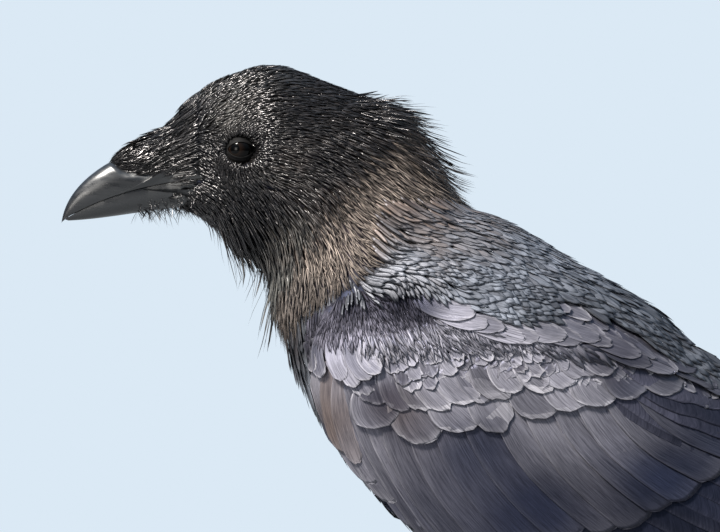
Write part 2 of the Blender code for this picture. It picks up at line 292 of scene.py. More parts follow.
class Surface:
    def __init__(self, piece):
        mesh = piece.data
        self.points = pointsOf(mesh)
        corners = np.empty(len(mesh.polygons) * 3, np.int32)
        mesh.polygons.foreach_get("vertices", corners)
        self.faces = corners.reshape(-1, 3)
        self.tree = BVHTree.FromPolygons(self.points.tolist(), self.faces.tolist())
        self.faceNormals = unit(normalsOf(mesh)[self.faces].mean(axis=1))

    def nearest(self, points):
        find = self.tree.find_nearest
        found = [find(p) for p in points.reshape(-1, 3).tolist()]
        places = np.array([f[0] for f in found]).reshape(points.shape)
        index = np.array([f[2] for f in found])
        return places, self.faceNormals[index].reshape(points.shape), index

    def fromSide(self, points, side):
        # rays from the outer side towards the middle plane, or the nearest point where they miss
        cast, find = self.tree.ray_cast, self.tree.find_nearest
        places, index = [], []
        for point in points.reshape(-1, 3).tolist():
            hit = cast((sideRays["start"] * side, point[1], point[2]), (-side, 0, 0), sideRays["start"])
            if hit[0] is None:
                hit = find((sideRays["missed"] * side, point[1], point[2]))
            places.append(hit[0])
            index.append(hit[2])
        places = np.array(places).reshape(points.shape)
        return places, self.faceNormals[index].reshape(points.shape)


bodyForm = smoothForm("body_form", bodyNodes, formShape["bodyVoxel"], formShape["smoothing"])
wholeForm = smoothForm("whole_form", bodyNodes + wingNodes, formShape["wholeVoxel"], formShape["smoothing"])
for form in (bodyForm, wholeForm):
    applyModifier(form, "TRIANGULATE")
body = Surface(bodyForm)
whole = Surface(wholeForm)
bpy.data.objects.remove(bodyForm)
print("form:", len(body.faces), len(whole.faces), "faces")


def backOf(points):
    return (points[:, 1] - cadLow.y) / mm


def upOf(points):
    return points[:, 2] / mm


# The lie of the coat.
# At each spot: back from the bill's tip, up from the floor, heading (0 is straight back, 90 is straight
# down), length, width, how far the tip stands off, stiffness, wear to brown, and a silvery sheen painted
# into the colour, a painted highlight. Lengths in mm; spots that end in a smaller number of values have no
# painted sheen.
lieSpots = {
    "forehead": (62, 346, -38, 5, 2.0, 0.10, 0, 0),
    "foreCrown": (78, 360, -16, 6, 2.1, 0.10, 0, 0.05, 0.12),
    "crown": (98, 368, 0, 8, 2.1, 0.04, 0, 0.05, 0.05),
    "hindCrown": (124, 363, 18, 10, 1.9, 0.03, 0, 0.15),
    "sideCrown": (110, 347, 12, 9, 1.8, 0.03, 0, 0.1),
    "brow": (80, 345, -14, 5, 2.0, 0.10, 0, 0.4, 0.22),
    "overEye": (85, 338, -4, 4, 1.4, 0.08, 0, 0.05),
    "lores": (68, 331, 24, 5, 1.4, 0.16, 0, 0),
    "underEye": (79, 321, 60, 5, 1.4, 0.10, 0, 0.1),
    "behindEye": (95, 331, 8, 6, 1.5, 0.05, 0, 0.05),
    "gape": (66, 313, 12, 6, 1.4, 0.08, 0, 0),
    "mandible": (53, 307, -16, 7, 1.3, 0.10, 0.3, 0),
    "cheek": (83, 310, 42, 8, 1.8, 0.10, 0.2, 0),
    "ear": (106, 324, 16, 10, 1.5, 0.03, 0, 0.4, 0.04),
    "earBack": (124, 320, 30, 12, 1.8, 0.05, 0, 0.1),
    "chin": (62, 304, 18, 8, 1.5, 0.16, 0.3, 0),
    "throat": (76, 297, 52, 15, 2.0, 0.22, 0.5, 0),
    "throatLow": (87, 287, 60, 19, 2.4, 0.22, 0.5, 0),
    "jaw": (96, 301, 48, 12, 2.0, 0.12, 0.2, 0),
    "nape": (152, 347, 34, 15, 2.2, 0.22, 0.4, 0.2),
    "napeLow": (168, 324, 44, 17, 2.4, 0.22, 0.4, 0.5),
    "neckSide": (129, 308, 50, 12, 1.9, 0.06, 0, 0.65),
    "neckFront": (106, 285, 68, 13, 2.0, 0.06, 0, 0.8, 0.25),
    "neckMid": (124, 281, 64, 13, 1.8, 0.05, 0, 1.0),
    "neckBack": (156, 308, 42, 12, 2.2, 0.07, 0, 0.7),
    "neckBase": (147, 290, 42, 12, 2.4, 0.06, 0, 0.75),
    "mantleFront": (166, 293, 24, 10, 2.8, 0.04, 0, 0.75, 0.12),
    "mantle": (190, 297, 32, 12, 3.8, 0.04, 0, 0.55, 0.25),
    "mantleLow": (221, 278, 31, 15, 4.8, 0.04, 0, 0.08, 0.42),
    "back": (257, 255, 34, 19, 5.6, 0.03, 0, 0, 0.2),
    "rump": (322, 198, 42, 28, 10, 0.02, 0, 0, 0.05),
    "breast": (99, 267, 78, 18, 3.2, 0.08, 0, 0.2, 0.5),
    "breastMid": (106, 239, 73, 17, 4.6, 0.08, 0, 0.1),
    "breastLow": (119, 202, 60, 20, 6.0, 0.06, 0, 0),
    "belly": (156, 143, 42, 26, 7.5, 0.05, 0, 0),
    "vent": (248, 105, 14, 30, 9.0, 0.04, 0, 0.1),
    "underTail": (330, 85, 24, 34, 10, 0.02, 0, 0),
    "upperTail": (372, 140, 44, 34, 12, 0.02, 0, 0),
    "thigh": (205, 120, 66, 20, 4.5, 0.06, 0, 0.1),
    "trousers": (222, 88, 78, 14, 3.2, 0.10, 0, 0.1),
    "wingBend": (119, 254, 88, 8, 1.6, 0.04, 0, 0, 0.2),
    "velvetFront": (134, 259, 84, 8.5, 1.5, 0.04, 0, 0, 0.05),
    "velvet": (155, 263, 74, 8.5, 1.5, 0.04, 0, 0, 0),
    "velvetMid": (164, 256, 66, 8.5, 1.5, 0.04, 0, 0, 0.05),
    "streakTop": (181, 250, 52, 9, 1.8, 0.05, 0, 0.1, 0.8),
    "streakBack": (208, 243, 46, 9, 1.8, 0.05, 0, 0.1, 0.7),
    "velvetLowFront": (138, 239, 80, 8, 2.2, 0.10, 0, 0, 0.9),
    "velvetLow": (165, 241, 64, 8, 2.4, 0.10, 0, 0.1, 0.95),
    "marginals": (126, 234, 70, 9, 5, 0.05, 0, 0, 0.55),
    "medianFront": (150, 216, 60, 16, 10, 0.02, 0, 0.3, 0.02),
    "median": (186, 222, 48, 16, 10, 0.02, 0, 0.1, 0.42),
    "medianBack": (230, 222, 36, 16, 10, 0.02, 0, 0.05, 0.5),
    "medianFar": (262, 221, 34, 16, 10, 0.02, 0, 0, 0.3),
    "greater": (190, 196, 40, 20, 10, 0.02, 0, 0, 0.08),
    "greaterLow": (215, 165, 38, 20, 10, 0.02, 0, 0, 0),
    "greaterFar": (275, 178, 34, 20, 10, 0.02, 0, 0, 0),
    "scapularFront": (148, 270, 6, 14, 5, 0.02, 0, 0, 0.1),
    "scapularTop": (160, 279, 10, 14, 5, 0.02, 0, 0.05, 0.3),
    "scapular": (192, 264, 18, 16, 8, 0.02, 0, 0, 0.42),
    "scapularMid": (222, 256, 22, 16, 8, 0.02, 0, 0, 0.2),
    "scapularFar": (255, 236, 30, 16, 8, 0.02, 0, 0.1, 0.08),
    "primaryFront": (136, 196, 62, 20, 10, 0.02, 0, 0.1, 0.35),
    "primaryLow": (160, 155, 48, 20, 10, 0.02, 0, 0, 0.15),
    "secondaryLow": (300, 120, 34, 20, 10, 0.02, 0, 0, 0),
    "wingTip": (420, 60, 34, 20, 10, 0.02, 0, 0, 0),
}
spotTable = np.array([list(spot) + [0] * (9 - len(spot)) for spot in lieSpots.values()])
spotAngles = np.radians(spotTable[:, 2])
spotValues = np.column_stack([np.cos(spotAngles), np.sin(spotAngles), spotTable[:, 3:]])
spotReach = {"softening": 4, "power": 4, "batch": 20000}  # how the spots blend; softening in mm
# what lieAt gives for each point, column by column; the last is the share of painted sheen, a painted
# highlight
straightBack, straightDown, tuftLength, tuftWidth, standOff, stiffness, wear, paintedSheenShare = range(8)


eyes = {side: sum(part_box("eye_" + side), Vector()) / 2 for side in signs}
# within "near" of the eye's middle the feathers fan out from it, and from "far" on they don't, in mm
eyeFan = {"near": 7, "far": 15, "turn": 0.85, "shorten": 0.4}


def lieAt(points):
    back, up = backOf(points), upOf(points)
    values = np.empty((len(points), spotValues.shape[1]))
    for start in range(0, len(points), spotReach["batch"]):
        part = slice(start, start + spotReach["batch"])
        distance = np.hypot(back[part, None] - spotTable[:, 0], up[part, None] - spotTable[:, 1])
        weight = 1 / (distance + spotReach["softening"]) ** spotReach["power"]
        values[part] = (weight / weight.sum(axis=1, keepdims=True)) @ spotValues
    awayBack = back - (eyes["left"].y - cadLow.y) / mm
    awayUp = up - eyes["left"].z / mm
    away = np.hypot(awayBack, awayUp)
    share = np.clip((eyeFan["far"] - away) / (eyeFan["far"] - eyeFan["near"]), 0, 1) * eyeFan["turn"]
    fan = np.column_stack([awayBack, -awayUp]) / np.maximum(away, 0.1)[:, None]
    values[:, :2] = values[:, :2] * (1 - share)[:, None] + fan * share[:, None]
    values[:, tuftLength] *= 1 - eyeFan["shorten"] * share
    return values


def headingOn(points, normals, cosine, sine):
    heading = np.column_stack([np.zeros(len(points)), cosine, -sine])
    heading -= normals * (heading * normals).sum(axis=1, keepdims=True)
    return unit(heading)


def insideLine(line, across, down):
    # which points lie inside a closed line in side view
    inside = np.zeros(len(across), bool)
    for (xa, ya), (xb, yb) in zip(line, line[1:] + line[:1]):
        crosses = (ya > down) != (yb > down)
        inside ^= crosses & (across < (xb - xa) * (down - ya) / (yb - ya + 1e-9) + xa)
    return inside


# The bare bill in side view, back from its tip and up from the floor in mm: ahead of this line
# there is horn, behind it bristles and feathers.
bareLine = [(20, 326), (24, 323), (28, 318.5), (39, 317), (51, 318.4), (60, 320), (65, 319.5),
            (65, 317), (60, 314.5), (54, 311), (47, 306), (42, 298)]


def onBareBill(points):
    return insideLine(bareLine + [(-30, 290), (-30, 340)], backOf(points), upOf(points))


# the skin, sunk under the form by the coat's depth
skin = wholeForm
skin.name = "skin"
# The coat's least and most depth and its depth under the bill in mm, its depth as a share of the
# feathers' length, the share of the flesh's thickness it may take, how the thickness is measured
# (from just inside, over a reach, in mm), and the share of the form's faces that the skin keeps.
skinDepth = {"face": 0.9, "trunk": 3.2, "bill": 4.5, "share": 0.14, "ofFlesh": 0.3, "inside": 0.2,
             "reach": 20, "kept": 0.66}


def sinkSkin(piece):
    points, normals = pointsOf(piece.data), normalsOf(piece.data)
    depth = skinDepth["share"] * lieAt(points)[:, tuftLength]
    depth = np.clip(depth, skinDepth["face"], skinDepth["trunk"]) * mm
    cast, inside = whole.tree.ray_cast, skinDepth["inside"] * mm
    for k, (point, normal) in enumerate(zip(points.tolist(), normals.tolist())):
        start = [p - inside * n for p, n in zip(point, normal)]
        hit = cast(start, [-n for n in normal], skinDepth["reach"] * mm)
        if hit[0] is not None:
            depth[k] = min(depth[k], skinDepth["ofFlesh"] * (hit[3] + inside))
    depth[onBareBill(points)] = skinDepth["bill"] * mm
    movePoints(piece.data, points - normals * depth[:, None])
    applyModifier(piece, "DECIMATE", ratio=skinDepth["kept"])
    sizes = lieAt(pointsOf(piece.data))
    shade, rim = np.full(len(sizes), 0.2), np.zeros(len(sizes))
    colours = np.column_stack([sizes[:, wear], shade, rim, sizes[:, paintedSheenShare]])
    look = piece.data.attributes.new("Look", "FLOAT_COLOR", "POINT")
    look.data.foreach_set("color", colours.astype(np.float32).ravel())
    piece.data.uv_layers.new(name="OFBake")
    editWhole(piece, bpy.ops.uv.smart_project, angle_limit=math.radians(66), island_margin=0.002)


sinkSkin(skin)
selectOnly(skin)
bpy.ops.object.shade_smooth()
# slate skin with dark down, seen only between the feathers
skinMaterial, skinTree, skinShader = newMaterial("dark_skin_with_down", {
    "Roughness": 0.5, "Specular IOR Level": 0.3, "Specular Tint": linearColour("#b4c0ee")})
skinLook = addNode(skinTree, "ShaderNodeAttribute", {"attribute_name": "Look"})
skinParts = addNode(skinTree, "ShaderNodeSeparateColor", None, {"Color": skinLook.outputs["Color"]})
skinTone = addNode(skinTree, "ShaderNodeMix", {
    "data_type": "RGBA", 6: linearColour("#0e1018"), 7: linearColour("#3a2f27")},
    {0: skinParts.outputs["Red"]})
skinTree.links.new(skinTone.outputs[2], skinShader.inputs["Base Color"])
skin.data.materials.append(skinMaterial)
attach(skin, "root")
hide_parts(*bodyNodes, *wingNodes)
under = Surface(skin)
skinUv = np.empty(len(skin.data.loops) * 2, np.float32)
skin.data.uv_layers["OFBake"].data.foreach_get("uv", skinUv)
skinUv = skinUv.reshape(-1, 3, 2)
print("skin:", len(skin.data.polygons), "faces")


def rootPatches(roots):
    # each root's place on the skin's own map
    places, _, index = under.nearest(roots)
    corner = under.points[under.faces[index]]
    edgeA, edgeB, reach = corner[:, 1] - corner[:, 0], corner[:, 2] - corner[:, 0], places - corner[:, 0]
    aa, ab, bb = (edgeA**2).sum(1), (edgeA * edgeB).sum(1), (edgeB**2).sum(1)
    ra, rb = (reach * edgeA).sum(1), (reach * edgeB).sum(1)
    area = np.maximum(aa * bb - ab * ab, 1e-24)
    shareA, shareB = (bb * ra - ab * rb) / area, (aa * rb - ab * ra) / area
    uv = skinUv[index]
    return uv[:, 0] + (uv[:, 1] - uv[:, 0]) * shareA[:, None] + (uv[:, 2] - uv[:, 0]) * shareB[:, None]


patchSize = 0.003  # of each feather in the map OFBake


def buildFeathers(name, sheaf, material):
    # Each feather is a closed ring of points at each station along it: first those across its top,
    # then, in a broad one, those of its underside. across and along are shares, half and length
    # are in metres, and look is a colour for each point.
    rings = sheaf["rings"]
    count, stations, around = rings.shape[:3]
    overTop = sheaf["top"]
    rows, columns = np.arange(stations - 1)[:, None], np.arange(around)[None, :]
    onward = (columns + 1) % around
    strips = np.stack([rows * around + columns, rows * around + onward,
                       (rows + 1) * around + onward, (rows + 1) * around + columns], axis=-1)
    isTop = np.broadcast_to(columns < overTop - 1, strips.shape[:2]).ravel()
    rootCap = np.arange(around)[::-1]
    tipCap = (stations - 1) * around + np.arange(around)
    corners = np.concatenate([strips.ravel(), rootCap, tipCap])
    sizes = np.array([4] * len(isTop) + [around, around])
    smooth = np.concatenate([isTop, [False, False]])
    shift = np.arange(count)[:, None] * stations * around
    allCorners = (corners[None, :] + shift).ravel().astype(np.int32)
    allSizes = np.tile(sizes, count)
    mesh = bpy.data.meshes.new(name)
    mesh.vertices.add(count * stations * around)
    mesh.vertices.foreach_set("co", rings.reshape(-1).astype(np.float32))
    mesh.loops.add(len(allCorners))
    mesh.loops.foreach_set("vertex_index", allCorners)
    mesh.polygons.add(len(allSizes))
    starts = np.concatenate([[0], np.cumsum(allSizes)[:-1]]).astype(np.int32)
    mesh.polygons.foreach_set("loop_start", starts)
    mesh.update(calc_edges=True)
    mesh.polygons.foreach_set("use_smooth", np.tile(smooth, count))
    shape = rings.shape[:3]
    across, along = np.broadcast_to(sheaf["across"], shape), np.broadcast_to(sheaf["along"], shape)
    centre = rootPatches(rings[:, 0].mean(axis=1))
    bake = np.stack([centre[:, None, None, 0] + across * patchSize / 2,
                     centre[:, None, None, 1] + (along - 0.5) * patchSize], axis=-1)
    vane = np.stack([across * np.broadcast_to(sheaf["half"], shape),
                     along * sheaf["length"][:, None, None]], axis=-1)
    for mapName, values in (("OFBake", bake), ("Vane", vane)):
        layer = mesh.uv_layers.new(name=mapName)
        layer.data.foreach_set("uv", values.reshape(-1, 2)[allCorners].astype(np.float32).ravel())
    attribute = mesh.attributes.new("Look", "FLOAT_COLOR", "POINT")
    attribute.data.foreach_set("color", sheaf["look"].reshape(-1).astype(np.float32))
    mesh.materials.append(material)
    piece = bpy.data.objects.new(name, mesh)
    bpy.context.scene.collection.objects.link(piece)
    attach(piece, "root")
    print(name, count, "feathers,", count * (2 * (stations - 1) * around + 2 * (around - 2)), "triangles")
    return piece


# how feathers of one kind differ: each one's own share of what its place gives, from and to
differ = {"length": (0.75, 1.2), "width": (0.7, 1.3), "lift": (0.1, 1.7), "stiffness": (0.4, 1.6),
          "wear": (0.5, 1.3), "paintedSheen": (0.35, 1.5), "rim": (0.1, 1), "fanWidth": (0.8, 1.25),
          "vaneRim": (0.2, 1), "edgeLength": (0.8, 1.1), "bristleLength": (0.6, 1.05)}


def lookOf(rings, rim, random):
    # wear, and the silvery sheen painted as a highlight, come from the feather's place, with some of each
    # feather's own; the pale rim is painted brighter where that sheen is
    count, stations, around = rings.shape[:3]
    sizes = lieAt(rings.reshape(-1, 3)).reshape(count, stations, around, -1)
    worn = np.clip(sizes[..., wear] * random.uniform(*differ["wear"], count)[:, None, None], 0, 1)
    paintedSheen = np.clip(sizes[..., paintedSheenShare] * random.uniform(*differ["paintedSheen"], count)[:, None, None], 0, 1)
    shade = np.broadcast_to(random.random(count)[:, None, None], rim.shape)
    return np.stack([worn, shade, rim * np.clip(0.25 + 1.5 * paintedSheen, 0, 1), paintedSheen], axis=-1)


def vaneProfile(along, swell, point, tip):
    # the vane's half width along it, as a share: narrow root, widest in the middle, then the tip
    shape = (along + 0.02) ** swell * np.maximum(1 - along**point, 0) ** 0.55
    return np.maximum(shape / shape.max(), tip)


def scatter(surface, spacing, wanted, seed):
    # random roots over the wanted faces, no two nearer than the spacing for their place
    tries = 3.0  # for each root that would fit
    random = np.random.default_rng(seed)
    corner = surface.points[surface.faces]
    area = np.linalg.norm(np.cross(corner[:, 1] - corner[:, 0], corner[:, 2] - corner[:, 0]), axis=1) / 2
    gap = spacing(corner.mean(axis=1))
    share = area / gap**2 * tries * wanted
    total = int(share.sum())
    index = random.choice(len(share), total, p=share / share.sum())
    a, b = random.random(total), random.random(total)
    flip = a + b > 1
    a[flip], b[flip] = 1 - a[flip], 1 - b[flip]
    chosen = corner[index]
    points = (chosen[:, 0] + (chosen[:, 1] - chosen[:, 0]) * a[:, None]
              + (chosen[:, 2] - chosen[:, 0]) * b[:, None])
    gaps = gap[index]
    size = gaps.max()
    around = [(x, y, z) for x in (-1, 0, 1) for y in (-1, 0, 1) for z in (-1, 0, 1)]
    cells, kept = {}, []
    for k, (point, near) in enumerate(zip(points.tolist(), gaps.tolist())):
        cell = [int(p // size) for p in point]
        others = (o for x, y, z in around for o in cells.get((cell[0] + x, cell[1] + y, cell[2] + z), ()))
        if all((o[0] - point[0]) ** 2 + (o[1] - point[1]) ** 2 + (o[2] - point[2]) ** 2 >= near * near
               for o in others):
            cells.setdefault(tuple(cell), []).append(point)
            kept.append(k)
    return points[kept]


def evenRoots(surface, wanted, gap, seed):
    # scattered with one gap everywhere, in mm
    return scatter(surface, lambda points: np.full(len(points), gap * mm), wanted.astype(float), seed)


def stationsOf(count):
    # shares along a broad vane, with one near its end to hold the shape of the tip
    return np.append(np.linspace(0, 0.97, count - 1), 1)


freeSag = 0.12  # how far a loose tip hangs, as a share of its length


def growCoat(surface, roots, steps, random, settings, forward=None):
    # Each feather is led over the surface in steps, and turns with the lie of the coat as it goes.
    # Settings: length and width as shares of the lie's; root: how deep it starts, as a share of its
    # length; over: how high it lies in mm; lift: how far the tip stands off; wander: by how much
    # neighbours differ in heading. forward gives lengths and angles in place of the lie's.
    places, ups, _ = surface.nearest(roots)
    sizes = lieAt(places)
    count = len(roots)
    length = sizes[:, tuftLength] * mm * settings["length"] * random.uniform(*differ["length"], count)
    lift = (sizes[:, standOff] + settings.get("lift", 0)) * random.uniform(*differ["lift"], count)
    stiff = sizes[:, stiffness] * random.uniform(*differ["stiffness"], count) + settings.get("stiff", 0)
    stiff = np.clip(stiff, 0, 1)[:, None]
    turn = random.normal(0, settings["wander"], count)
    angle = None
    if forward is not None:
        length, angle = forward(places, random)
    centres, normals = [], []
    straight, firstUp, firstHeading = places, ups, None
    shares = stationsOf(steps) if "opens" in settings else np.linspace(0, 1, steps)
    for k, share in enumerate(shares):
        if angle is None:
            sizes = lieAt(places)
            heading = headingOn(places, ups, sizes[:, straightBack], sizes[:, straightDown])
        else:
            heading = headingOn(places, ups, np.cos(angle), np.sin(angle))
        bent = (turn * (0.4 + share))[:, None]
        heading = unit(heading * np.cos(bent) + np.cross(ups, heading) * np.sin(bent))
        if firstHeading is None:
            firstHeading = heading
        sunk = (settings["root"] * length * (1 - share))[:, None]
        raised = (lift * length * share**1.4)[:, None]
        free = straight + firstHeading * (length * share)[:, None] - firstUp * sunk
        if not settings.get("stiff"):
            free[:, 2] -= freeSag * length * share**2
        raised += settings.get("over", 0) * mm
        centres.append((places - ups * sunk + ups * raised) * (1 - stiff)
                       + (free + firstUp * raised) * stiff)
        normals.append(ups)
        onward = shares[min(k + 1, steps - 1)] - share
        places, ups, _ = surface.nearest(places + heading * (length * onward)[:, None])
    centres, normals = np.stack(centres, 1), np.stack(normals, 1)
    run = unit(np.gradient(centres, axis=1))
    sideways = unit(np.cross(run, normals))
    return centres, sideways, np.cross(sideways, run), length


def coatPiece(name, surface, roots, material, settings, seed, forward=None, slotName="plumage"):
    random = np.random.default_rng(seed)
    steps, crown = settings["steps"], np.array(settings["crown"])
    centres, sideways, ups, length = growCoat(surface, roots, steps, random, settings, forward)
    sizes = lieAt(roots)
    count = len(roots)
    along = np.linspace(0, 1, steps)
    profile = vaneProfile(along, settings["swell"], settings["point"], settings["tip"])
    wide = settings["width"] if forward else sizes[:, tuftWidth] * settings["width"]
    half = (wide * mm / 2 * random.uniform(*differ["width"], count))[:, None] * profile
    across = np.linspace(-1, 1, len(crown))
    # neighbours turn their faces the same way, so that the light breaks up into patches
    patch = [noise.noise(Vector(root) / (6 * mm)) for root in roots.tolist()]
    tilt = random.normal(0, settings["tilt"], count) + np.array(patch) * settings["tilt"] * 2
    height = half[:, :, None] * (crown + tilt[:, None, None] * across)
    rings = (centres[:, :, None, :] + sideways[:, :, None, :] * (half[:, :, None] * across)[..., None]
             + ups[:, :, None, :] * height[..., None])
    # pale edge and tip: partly the fringe's own colour, partly a painted edge highlight
    edge = np.maximum(np.abs(across)[None, :] ** 3 * 0.6, along[:, None] ** 6) * settings["rim"]
    rim = edge[None] * random.uniform(*differ["rim"], count)[:, None, None]
    buildFeathers(name, {"rings": rings, "top": len(crown), "across": across, "along": along[:, None],
                         "half": half[:, :, None], "length": length, "look": lookOf(rings, rim, random)},
                  material)


def strewnFans(name, surface, roots, material, row, seed, slotName):
    # broad ragged vanes at scattered roots
    random = np.random.default_rng(seed)
    centres, _, ups, length = growCoat(surface, roots, row["steps"], random, row)
    width = lieAt(roots)[:, tuftWidth] * row["width"] * mm
    width = width * random.uniform(*differ["fanWidth"], len(roots))
    sheaf = vaneSheaf(surface, centres, ups, 1, length, width, row, random)
    buildFeathers(name, sheaf, material)


# where each part of the coat is, by the flesh node that lies nearest
nodeOrder = bodyNodes + wingNodes


def treeOfNodes(names):
    points, faces, owner = [], [], []
    for number, nodeName in enumerate(names):
        mesh = frame["nodes"][nodeName].data
        offset = sum(len(p) for p in points)
        points.append(pointsOf(mesh))
        faces += [[v + offset for v in polygon.vertices] for polygon in mesh.polygons]
        owner += [number] * len(mesh.polygons)
    return BVHTree.FromPolygons(np.concatenate(points).tolist(), faces), np.array(owner)


nodeTree, faceNode = treeOfNodes(nodeOrder)


def nodeAt(points):
    return faceNode[[nodeTree.find_nearest(p)[2] for p in points.tolist()]]


bodyNode = nodeAt(body.points[body.faces].mean(axis=1))


# the folded wing in side view: its upper edge with the half distance to the other wing there, and
# its lower edge, back from the wing's front and down from its top, in mm
wingTop = np.array([(0, 38, 43), (12, 16, 44), (36, 4, 42), (60, 2, 40), (84, 4, 37), (96, 6, 34),
                    (120, 14, 31), (144, 24, 26), (168, 36, 21), (192, 50, 15), (216, 68, 9),
                    (240, 96, 10), (264, 122, 11), (288, 154, 17), (312, 182, 22), (336, 208, 28),
                    (362, 236, 35)], float)
wingBottom = np.array([(0, 52), (12, 84), (24, 100), (48, 124), (72, 140), (96, 154), (120, 166),
                       (144, 176), (168, 184), (192, 190), (216, 198), (240, 204), (264, 210),
                       (288, 216), (312, 224), (336, 230), (362, 237)], float)
wingLow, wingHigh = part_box("wing_left")
# half the distance between the wings' lower edges, the strip of the body's feathers kept along
# them, and how far out a wing lies where it hides the body, in mm
wingCover = {"lowHalf": 48, "strip": 6, "off": 3}


def onWingSide(points, low=wingLow, high=wingHigh):
    # back from the wing's front and down from its top, in mm; both wings lie at one height
    return (points[:, 1] - low.y) / mm, (high.z - points[:, 2]) / mm


def overWingSide(points):
    # true for points that a wing hides from the side
    back, down = onWingSide(points)
    top, bottom = np.interp(back, *wingTop[:, :2].T), np.interp(back, *wingBottom.T)
    inner = np.interp(back, wingTop[:, 0], wingTop[:, 2])
    share = np.clip((down - top) / np.maximum(bottom - top, 1), 0, 1)
    inner = inner + (wingCover["lowHalf"] - inner) * share
    inSight = (back > 0) & (down > top) & (down < bottom - wingCover["strip"])
    return inSight & (np.abs(points[:, 0]) > inner * mm)


def underWing(points):
    # true where a wing lies well over the body
    places, _, _ = whole.nearest(points)
    return np.linalg.norm(places - points, axis=1) > wingCover["off"] * mm


eyePatch = {"back": 6.2, "up": 4.3, "deep": 16}  # half the bare patch round each eye, in mm


def nearEye(points):
    near = np.zeros(len(points), bool)
    for centre in eyes.values():
        away = (points - np.array(centre)) / mm
        flat = (away[:, 1] / eyePatch["back"]) ** 2 + (away[:, 2] / eyePatch["up"]) ** 2
        near |= (flat < 1) & (np.abs(away[:, 0]) < eyePatch["deep"])
    return near


def coatRoots(nodes, tightness, seed):
    wanted = np.isin(bodyNode, [nodeOrder.index(n) for n in nodes]).astype(float)

    def spacing(points):
        sizes = lieAt(points)
        return np.sqrt(sizes[:, tuftLength] * sizes[:, tuftWidth] / tightness) * mm

    roots = scatter(body, spacing, wanted, seed)
    if "trunk" in nodes or "tail" in nodes:
        roots = roots[~overWingSide(roots)]
    return roots[~underWing(roots) & ~nearEye(roots) & ~onBareBill(roots)]


# Fine tufts for head and neck, broader ones for the body. crown: the height of each point across,
# as a share of the half width; swell, point, tip: the outline from root to tip; tilt: by how much
# neighbours turn their faces; rim: how pale the edge is, partly its own paler fringe and partly a painted
# edge highlight.
coats = {
    "fine": {"steps": 4, "crown": (0, 0.4, 0), "length": 1.1, "width": 0.55, "wander": 0.15, "swell": 0.25,
             "point": 1.8, "tip": 0.08, "tilt": 0.42, "rim": 0.3, "root": 0.12},
    "plush": {"steps": 4, "crown": (0, 0.22, 0), "length": 0.85, "width": 0.25, "wander": 0.2, "swell": 0.2,
              "point": 1.8, "tip": 0.06, "tilt": 0.08, "rim": 0.3, "root": 0.12},
    "broad": {"steps": 6, "crown": (0, 0.09, 0.13, 0.09, 0), "length": 1.05, "width": 0.72, "wander": 0.12,
              "swell": 0.4, "point": 2.2, "tip": 0.06, "tilt": 0.14, "rim": 0.7, "root": 0.10},
    "bristle": {"steps": 5, "crown": (0, 0.4, 0), "length": 1.0, "width": 0.62, "wander": 0.10, "swell": 0.2,
                "point": 1.6, "tip": 0.06, "tilt": 0.8, "rim": 0.1, "root": 0.03, "over": 0.3},
    "velvet": {"steps": 4, "crown": (0, 0.4, 0), "length": 1.0, "width": 0.5, "wander": 0.10, "swell": 0.3,
               "point": 2.2, "tip": 0.1, "tilt": 0.12, "rim": 0.15, "root": 0.08, "over": 0.6},
    "hackle": {"steps": 6, "crown": (0, 0.4, 0), "length": 1.05, "width": 0.3, "wander": 0.25, "swell": 0.35,
               "point": 1.5, "tip": 0.03, "tilt": 0.4, "rim": 0.3, "root": 0.06},
}
# The bristles over the nostrils lie forward, level on the bill's sides and downhill on its top.
# edge: how far back from its tip they start; side, top: the heights of its sides and its top;
# level, downhill: their angles; ends: where the longest ones end; range: of their lengths, in mm.
bristles = {"edge": 62, "side": 317, "top": 337, "level": 173, "downhill": 156, "ends": 22,
            "range": (3.5, 17)}


def bristleRun(places, random):
    rise = np.clip((upOf(places) - bristles["side"]) / (bristles["top"] - bristles["side"]), 0, 1)
    angle = bristles["level"] + (bristles["downhill"] - bristles["level"]) * rise
    angle = np.radians(angle + random.normal(0, 7, len(places)))
    length = np.clip(0.85 * (backOf(places) - bristles["ends"]) + 3, *bristles["range"]) * mm
    return length * random.uniform(*differ["bristleLength"], len(places)), angle


hairs = {"angles": (40, 110), "lengths": (3, 7)}  # loose ones under the bill's lower half, in mm


def hangingHairs(places, random):
    angle = np.radians(random.uniform(*hairs["angles"], len(places)))
    return random.uniform(*hairs["lengths"], len(places)) * mm, angle


faceEnd, bristleLow = 104, 316  # how far back the face's tufts reach, how low the bristles, in mm
headRoots = coatRoots(["head"], tightness=14, seed=11)
parting = bristles["edge"] + np.random.default_rng(9).normal(0, 1.2, len(headRoots))
bristled = (backOf(headRoots) < parting) & (upOf(headRoots) > bristleLow)
for side, sign in signs.items():
    half = headRoots[:, 0] * sign > 0
    face = backOf(headRoots) < faceEnd
    coatPiece("face_coat_" + side, body, headRoots[half & face & ~bristled], headPlumage, coats["fine"], 12)
    coatPiece("crown_coat_" + side, body, headRoots[half & ~face], headPlumage,
              dict(coats["fine"], tilt=0.25), 13)
middles = body.points[body.faces].mean(axis=1)
ofBill = (bodyNode == 0) & (backOf(middles) < bristles["edge"] + 3) & (upOf(middles) > bristleLow - 1)
bristleRoots = evenRoots(body, ofBill, gap=0.8, seed=22)
bristleRoots = bristleRoots[~onBareBill(bristleRoots)]
coatPiece("nasal_bristles", body, bristleRoots, headPlumage, coats["bristle"], 21, bristleRun)
neckRoots = coatRoots(["neck"], tightness=18, seed=14)
coatPiece("neck_coat", body, neckRoots, neckPlumage, coats["plush"], 15)

